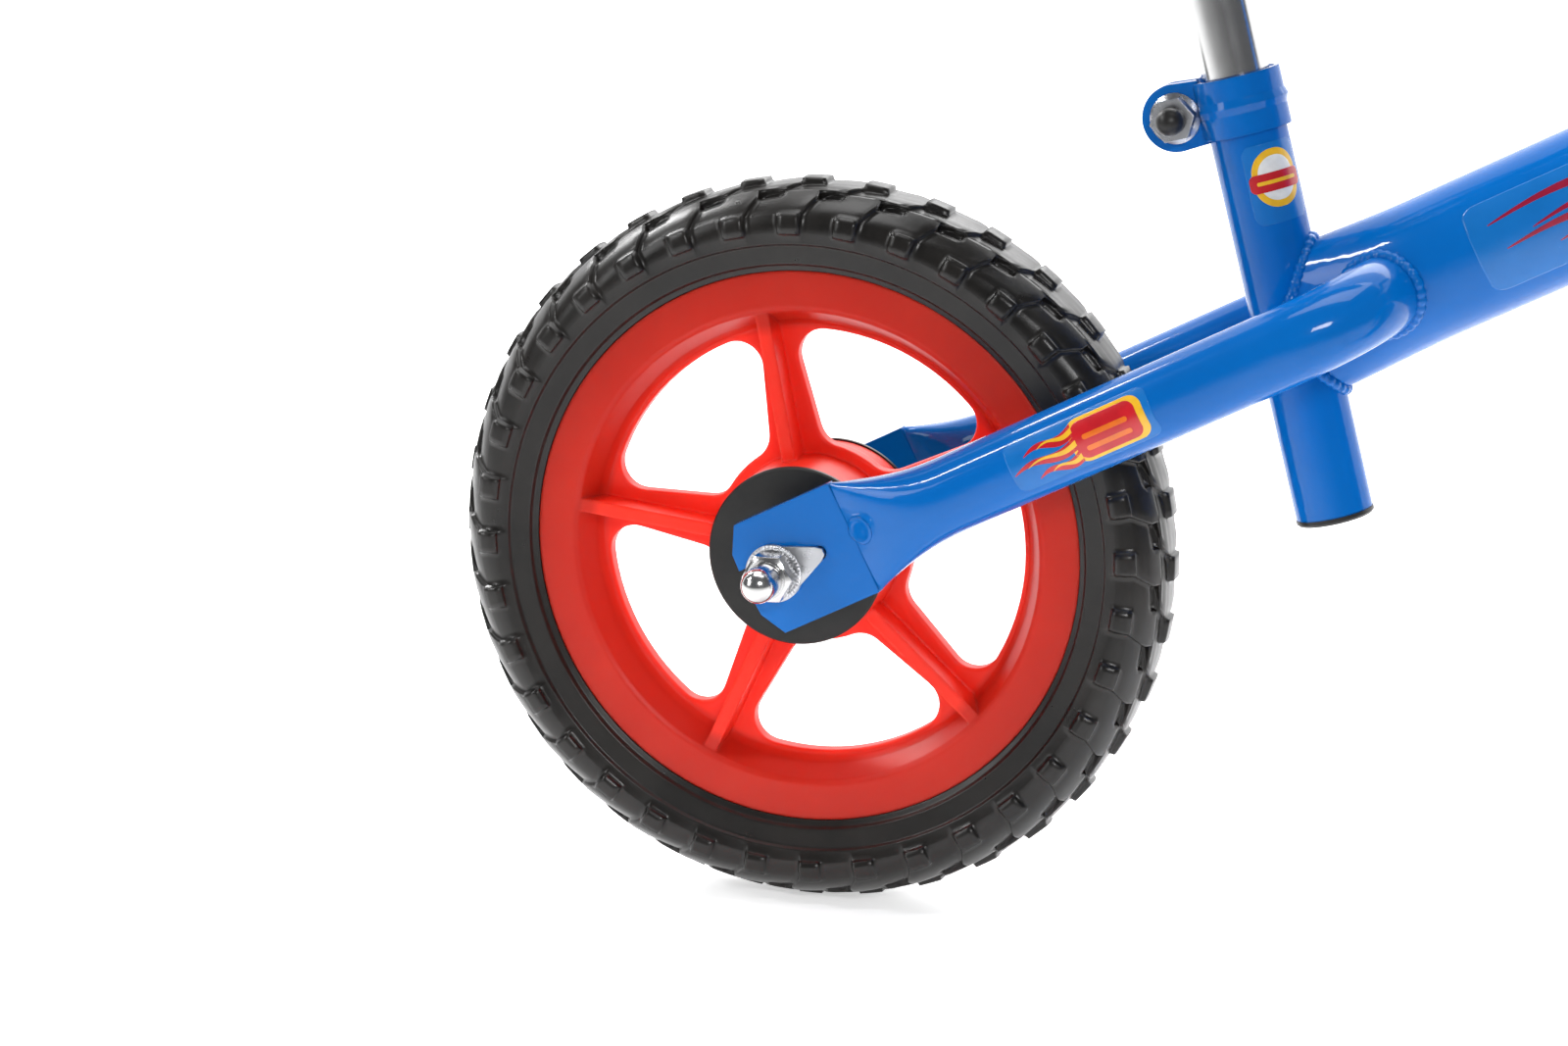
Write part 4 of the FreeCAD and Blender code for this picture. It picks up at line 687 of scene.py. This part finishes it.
def seatSticker():
    # a round badge with a band across it, turned part of the way to the front
    across, ahead = 0.78, 0.62
    out = unit(-leftward * across + seatFront * ahead)
    tube = dict(origin=seatPoint, along=seatDir, up=unit(np.cross(seatDir, out)), out=out,
                radius=tubes["seatRadius"])
    tubePatch("seatFilm", tube, 36, 62, *rounded(26, 10.2, 3.5), 0.06, film)
    tubePatch("seatDisc", tube, 41, 60, *rounded(19, 8.2, 8.0), 0.15, inks["yellow"])
    tubePatch("seatField", tube, 43.2, 57.8, *rounded(14.6, 6.2, 6.0), 0.24, inks["white"])
    tubePatch("seatBand", tube, 46.5, 52.5, *rounded(6, 9.4, 2.0), 0.33, inks["red"])
    tubePatch("seatLine", tube, 48.9, 50.1, *rounded(1.2, 7.0, 0.5), 0.42, inks["yellow"])


for sign, word in ((-1, "Right"), (1, "Left")):
    stayStickers(sign, word)
    mainStickers(sign, word)
seatSticker()
print("stickers made")


# serrated faces of the washers under the axle nuts

serration = dict(inner=7.7, outer=9.6, teeth=44, low=0.06, high=0.34, face=50.3)


def washerTeeth(name, axle, sign, body):
    # a ring whose height over the washer is low + high (1 + cos(n a)) / 2
    t = serration
    turn = np.arange(t["teeth"] * 6) * 2 * np.pi / (t["teeth"] * 6)
    tooth = t["low"] + t["high"] * (0.5 + 0.5 * np.cos(t["teeth"] * turn))
    radius = np.array([t["inner"], t["inner"] + 0.3, t["outer"] - 0.3, t["outer"]])
    height = np.stack([np.full(len(turn), -0.1), tooth, tooth, np.full(len(turn), -0.1)], axis=1)
    x = radius[None, :] * np.cos(turn)[:, None]
    z = radius[None, :] * np.sin(turn)[:, None]
    points = axle + mm * np.stack([x, sign * (t["face"] + height), z], axis=-1)
    ring = meshPiece(name, points.reshape(-1, 3),
                     gridFaces(len(turn), 4, True, True, flip=sign < 0))
    return finishPiece(ring, body, zinc)


for word, axle, body in (("rear", rearAxle, "frame"), ("front", frontAxle, "fork")):
    washerTeeth(word + "TeethRight", axle, -1, body)
    washerTeeth(word + "TeethLeft", axle, 1, body)


# grips

gripLook = dict(start=94.0, end=190.0, around=72, ribs=26, ribHeight=0.55, ribsFrom=104,
                ribsTo=150, ribsFade=3, wave=0.5, waveLength=20, rise=84.0)

# (distance from the bike's middle, radius) along a grip
gripProfile = [(94, 11.3), (94, 21.4), (94.8, 22.5), (96.6, 22.8), (98.2, 22.3), (99.4, 19.0),
               (101, 16.0), (104, 15.2), (150, 14.9), (172, 15.2), (177, 16.8), (180, 18.0),
               (184, 18.3), (187, 17.6), (189, 15.5), (189.8, 11.5)]


def gripPiece(name, sign, node):
    # a profile turned about the bar, with n ribs over its middle: h sin(pi n x)^2, x = 0..1,
    # and soft waves that are strongest on its upper side
    g = gripLook
    corners = np.array(gripProfile)
    steps = [np.linspace(a, b, 3)[:-1] for a, b in zip(corners[:7], corners[1:8])]
    body = np.linspace(corners[7], corners[8], 110)[:-1]
    tail = [np.linspace(a, b, 5)[:-1] for a, b in zip(corners[8:-1], corners[9:])]
    profile = np.vstack(steps + [body] + tail + [corners[-1:]])
    s, r = profile[:, 0], profile[:, 1].copy()
    along = s - g["ribsFrom"]
    ribbed = g["ribsTo"] - g["ribsFrom"]
    inRibs = smoothStep(along / g["ribsFade"]) * smoothStep((g["ribsTo"] - s) / g["ribsFade"])
    r += g["ribHeight"] * inRibs * np.sin(np.pi * along * g["ribs"] / ribbed) ** 2
    turn = np.arange(g["around"]) * 2 * np.pi / g["around"]
    upper = 0.5 - 0.5 * np.cos(turn - np.pi)
    swell = np.cos(2 * np.pi * along / g["waveLength"])
    wave = g["wave"] * inRibs[:, None] * upper[None, :] * swell[:, None]
    reach = (r[:, None] + wave) * mm
    centre = barCentre + headDir * g["rise"] * mm
    points = (centre + sign * s[:, None, None] * mm * leftward
              + reach[..., None] * (np.cos(turn)[None, :, None] * headDir
                                    + np.sin(turn)[None, :, None] * headFront))
    points = points.reshape(-1, 3)
    faces = gridFaces(len(s), len(turn), closeColumns=True, flip=sign > 0)
    pole = len(points)
    points = np.vstack([points, centre + sign * leftward * g["end"] * mm,
                        centre + sign * leftward * g["start"] * mm])
    last = (len(s) - 1) * len(turn)
    for i in range(len(turn)):
        k = (i + 1) % len(turn)
        outer, inner = [last + k, last + i, pole], [i, k, pole + 1]
        faces += [outer[::-1], inner[::-1]] if sign > 0 else [outer, inner]
    grip = meshPiece(name, points, faces)
    sharpen(grip, 50)
    return finishPiece(grip, "handlebar", gripRubber, [node])


gripPiece("gripRight", -1, "grip_right")
gripPiece("gripLeft", 1, "grip_left")
print("grips made")


# saddle: an upholstered pad that is blown up as cloth, with piping round its foot

saddleShape = dict(rear=98.0, front=118.0, half=70.0, nose=24.0, lift=27.0, base=4.0, top=33.0,
                   inset=4.0, middle=6.0, gap=0.8, room=4.5, dip=0.16, dipAt=20, dipWidth=45,
                   waist=0.47, steep=13, blunt=0.62, voxel=0.0045, pressure=4.0, frames=20,
                   stiffness=25, bending=2.0, cap=0.005, piping=1.5, pipingInset=1.8,
                   pipingLift=1.9)


def saddleOutline(inset, count=96):
    # top view: half width falls from back to nose along a logistic curve, ends rounded off
    s = saddleShape
    rear, front = s["rear"] - inset, s["front"] - inset
    angle = 2 * np.pi * (np.arange(count) + 0.5) / count
    along = (front - rear) / 2 + (front + rear) / 2 * np.cos(angle)
    x = (along + rear) / (front + rear)
    fall = 1 + np.exp((x - s["waist"]) * s["steep"])
    half = (s["nose"] - inset) + (s["half"] - s["nose"]) / fall
    side = half * np.sign(np.sin(angle)) * np.abs(np.sin(angle)) ** s["blunt"]
    return along, side


def padStart():
    # rings from the crown to the foot, scale sin(p)^0.7 and height cos(p)^0.55, then a flat base
    s = saddleShape
    along, side = saddleOutline(s["inset"])
    turn = np.linspace(0.06, np.pi / 2, 16)
    scale = np.concatenate([np.sin(turn) ** 0.7, [0.9, 0.6, 0.3, 0.06]])
    level = np.concatenate([np.cos(turn) ** 0.55, [0, 0, 0, 0]])
    x = s["middle"] + (along[None, :] - s["middle"]) * scale[:, None]
    y = side[None, :] * scale[:, None]
    dip = 1 - s["dip"] * np.exp(-((x - s["dipAt"]) / s["dipWidth"]) ** 2)
    z = s["lift"] + s["base"] + s["gap"] + (s["top"] - s["room"]) * level[:, None] * dip
    rings = np.stack([x, y, z], axis=-1)
    count = len(along)
    faces = gridFaces(len(scale), count, closeColumns=True)
    points = rings.reshape(-1, 3)
    top, foot = points[:count].mean(0), points[-count:].mean(0)
    points = np.vstack([points, top, foot])
    last = (len(scale) - 1) * count
    for i in range(count):
        k = (i + 1) % count
        faces.append([i, k, len(points) - 2])
        faces.append([last + k, last + i, len(points) - 1])
    return saddleBolt + points * mm, faces


def applyModifiers(piece):
    # makes the shape that the modifiers give the piece's own mesh
    graph = bpy.context.evaluated_depsgraph_get()
    mesh = bpy.data.meshes.new_from_object(piece.evaluated_get(graph))
    piece.modifiers.clear()
    piece.data = mesh


def meshPoints(piece):
    flat = np.empty(len(piece.data.vertices) * 3, np.float32)
    piece.data.vertices.foreach_get("co", flat)
    return flat.reshape(-1, 3).astype(float)


def inflate(piece):
    # blows the pad up as cloth and caps how far each point moves
    s = saddleShape
    cloth = piece.modifiers.new("cloth", "CLOTH")
    cloth.settings.use_pressure = True
    cloth.settings.uniform_pressure_force = s["pressure"]
    cloth.settings.effector_weights.gravity = 0.0
    cloth.settings.tension_stiffness = s["stiffness"]
    cloth.settings.compression_stiffness = s["stiffness"]
    cloth.settings.bending_stiffness = s["bending"]
    start = meshPoints(piece)
    scene = bpy.context.scene
    cloth.point_cache.frame_start = 1
    cloth.point_cache.frame_end = s["frames"]
    for number in range(1, s["frames"] + 1):
        scene.frame_set(number)
    applyModifiers(piece)
    moved = meshPoints(piece) - start
    far = np.linalg.norm(moved, axis=1)[:, None]
    moved *= np.minimum(1, s["cap"] / np.maximum(far, 1e-9))
    points = start + moved
    floorLevel = saddleBolt[2] + (s["lift"] + s["base"] + 0.3) * mm
    points[:, 2] = np.maximum(points[:, 2], floorLevel)
    piece.data.vertices.foreach_set("co", points.astype(np.float32).ravel())
    piece.data.update()
    scene.frame_set(1)


def saddlePad():
    # the start shape remeshed, blown up, smoothed and subdivided
    s = saddleShape
    pad = meshPiece("saddleCover", *padStart())
    remesh = pad.modifiers.new("remesh", "REMESH")
    remesh.mode = "VOXEL"
    remesh.voxel_size = s["voxel"]
    applyModifiers(pad)
    inflate(pad)
    smooth = pad.modifiers.new("smooth", "SMOOTH")
    smooth.factor = 0.5
    smooth.iterations = 4
    finer = pad.modifiers.new("finer", "SUBSURF")
    finer.levels = finer.render_levels = 1
    applyModifiers(pad)
    pad.data.shade_smooth()
    finishPiece(pad, "saddle", vinyl, ["saddle_pad"])
    return pad


def snugPath(path, pad):
    # draws a path in to the pad's foot: the mean of the six foot points nearest each place,
    # then each point (before + 2 here + after) / 4, three times
    points = meshPoints(pad)
    foot = points[points[:, 2] < points[:, 2].min() + 5 * mm]
    away = ((path[:, None, :2] - foot[None, :, :2]) ** 2).sum(-1)
    path = path.copy()
    path[:, :2] = foot[np.argsort(away, axis=1)[:, :6], :2].mean(1)
    for _ in range(3):
        path = (np.roll(path, 1, 0) + 2 * path + np.roll(path, -1, 0)) / 4
    return path


def saddlePiping(pad):
    # a plain round cord drawn in to the foot of the pad
    s = saddleShape
    along, side = saddleOutline(s["pipingInset"], 160)
    level = np.full(len(along), s["lift"] + s["base"] + s["pipingLift"])
    path = saddleBolt + np.stack([along, side, level], axis=1) * mm
    piping = closedTube("saddlePiping", snugPath(path, pad), s["piping"], 0.0, 1.0, 10)
    finishPiece(piping, "saddle", vinyl)


saddlePiping(saddlePad())
print("saddle made")


# floor, light and camera

studio = dict(floorColor=(0.93, 0.93, 0.93), floorShade=(0.62, 0.62, 0.62), shadeFrom=-0.90,
              shadeTo=-0.18, glow=0.5, glowFront=-0.80, glowFull=-0.10, farGlow=0.7,
              farFrom=0.4, farTo=1.6, floorHalf=12.0, backdrop=2.4, bend=1.0,
              worldColor=(0.94, 0.96, 1.0), worldStrength=0.14)

lights = [
    dict(name="topBox", place=(-0.15, 0.10, 2.0), aim=(-0.15, 0.08, 0.2), size=(1.7, 1.1), power=10.5,
         spread=110),
    dict(name="leftStrip", place=(-1.75, 0.82, 1.37), aim=(-0.20, 0.0, 0.17), size=(0.15, 0.8),
         power=2.8, spread=70),
    dict(name="keyStrip", place=(-1.75, -0.68, 1.45), aim=(-0.20, 0.0, 0.17), size=(0.13, 0.5),
         power=1.5, spread=70),
    dict(name="frontBox", place=(0.75, -1.9, 1.25), aim=(-0.25, 0.0, 0.15), size=(0.75, 0.35),
         power=2.2, spread=60),
    dict(name="leftBox", place=(-1.7, -1.2, 0.8), aim=(-0.25, 0.0, 0.12), size=(0.5, 0.9), power=0.8,
         spread=60),
    dict(name="backBox", place=(0.2, 1.8, 1.5), aim=(-0.1, 0.6, 0.0), size=(2.0, 1.2), power=13,
         spread=120),
]


def aimed(place, aim):
    return (Vector(aim) - Vector(place)).to_track_quat("-Z", "Y").to_euler()


def addLights():
    # soft rectangular lamps, each turned to its aim
    for light in lights:
        data = bpy.data.lights.new(light["name"], "AREA")
        data.shape = "RECTANGLE"
        data.size, data.size_y = light["size"]
        data.energy = light["power"]
        data.spread = np.radians(light["spread"])
        lamp = bpy.data.objects.new(light["name"], data)
        lamp.location = light["place"]
        lamp.rotation_euler = aimed(light["place"], light["aim"])
        bpy.context.scene.collection.objects.link(lamp)


def addFloor():
    # a floor that curves up into a backdrop: a profile along y and z, drawn out along x; its colour runs from a
    # painted shade of grey in front to near white, and it gives off light that grows towards the back
    s = studio
    bend = s["bend"]
    turn = np.linspace(0, np.pi / 2, 17)
    y = np.concatenate([[-s["floorHalf"]], s["backdrop"] + bend * np.sin(turn),
                        [s["backdrop"] + bend]])
    z = np.concatenate([[0], bend * (1 - np.cos(turn)), [s["floorHalf"]]])
    points = [(x, a, b) for x in (-s["floorHalf"], s["floorHalf"]) for a, b in zip(y, z)]
    floor = meshPiece("floor", points, gridFaces(2, len(y), flip=True))
    n = Nodes("paleFloor")
    depth = n.add("SeparateXYZ", {"Vector": n.where}).outputs["Y"]
    near = n.level(depth, 0.0, 1.0, s["shadeFrom"], s["shadeTo"])
    n.set(color=n.mix(near, s["floorShade"], s["floorColor"]), rough=0.85, specular=0.1)
    n.put(n.shader.inputs["Emission Color"], (1, 1, 1, 1))
    glow = n.math("ADD", n.level(depth, 0.0, s["glow"], s["glowFront"], s["glowFull"]),
                  n.level(depth, 0.0, s["farGlow"], s["farFrom"], s["farTo"]))
    n.put(n.shader.inputs["Emission Strength"], glow)
    floor.data.materials.append(n.material)


def addWorld():
    world = bpy.data.worlds.new("studioWorld")
    world.use_nodes = True
    sky = world.node_tree.nodes["Background"]
    sky.inputs["Color"].default_value = (*studio["worldColor"], 1)
    sky.inputs["Strength"].default_value = studio["worldStrength"]
    bpy.context.scene.world = world


cameraView = dict(yaw=16.68, pitch=13.24, distance=1.370, lens=92.3, aimAhead=-0.0115, aimUp=0.005)


def addCamera():
    # looks at the rear axle from the right, yaw degrees to the front and pitch degrees above
    c = cameraView
    yaw, pitch = np.radians(c["yaw"]), np.radians(c["pitch"])
    back = Vector((np.sin(yaw) * np.cos(pitch), -np.cos(yaw) * np.cos(pitch), np.sin(pitch)))
    aim = Vector(rearAxle) + Vector((c["aimAhead"], 0, c["aimUp"]))
    data = bpy.data.cameras.new("camera")
    data.lens = c["lens"]
    data.sensor_width = 36.0
    camera = bpy.data.objects.new("camera", data)
    camera.location = aim + back * c["distance"]
    camera.rotation_euler = (-back).to_track_quat("-Z", "Y").to_euler()
    bpy.context.scene.collection.objects.link(camera)
    bpy.context.scene.camera = camera


addFloor()
addLights()
addWorld()
addCamera()
bpy.context.scene.view_settings.view_transform = "Standard"
print("studio made")
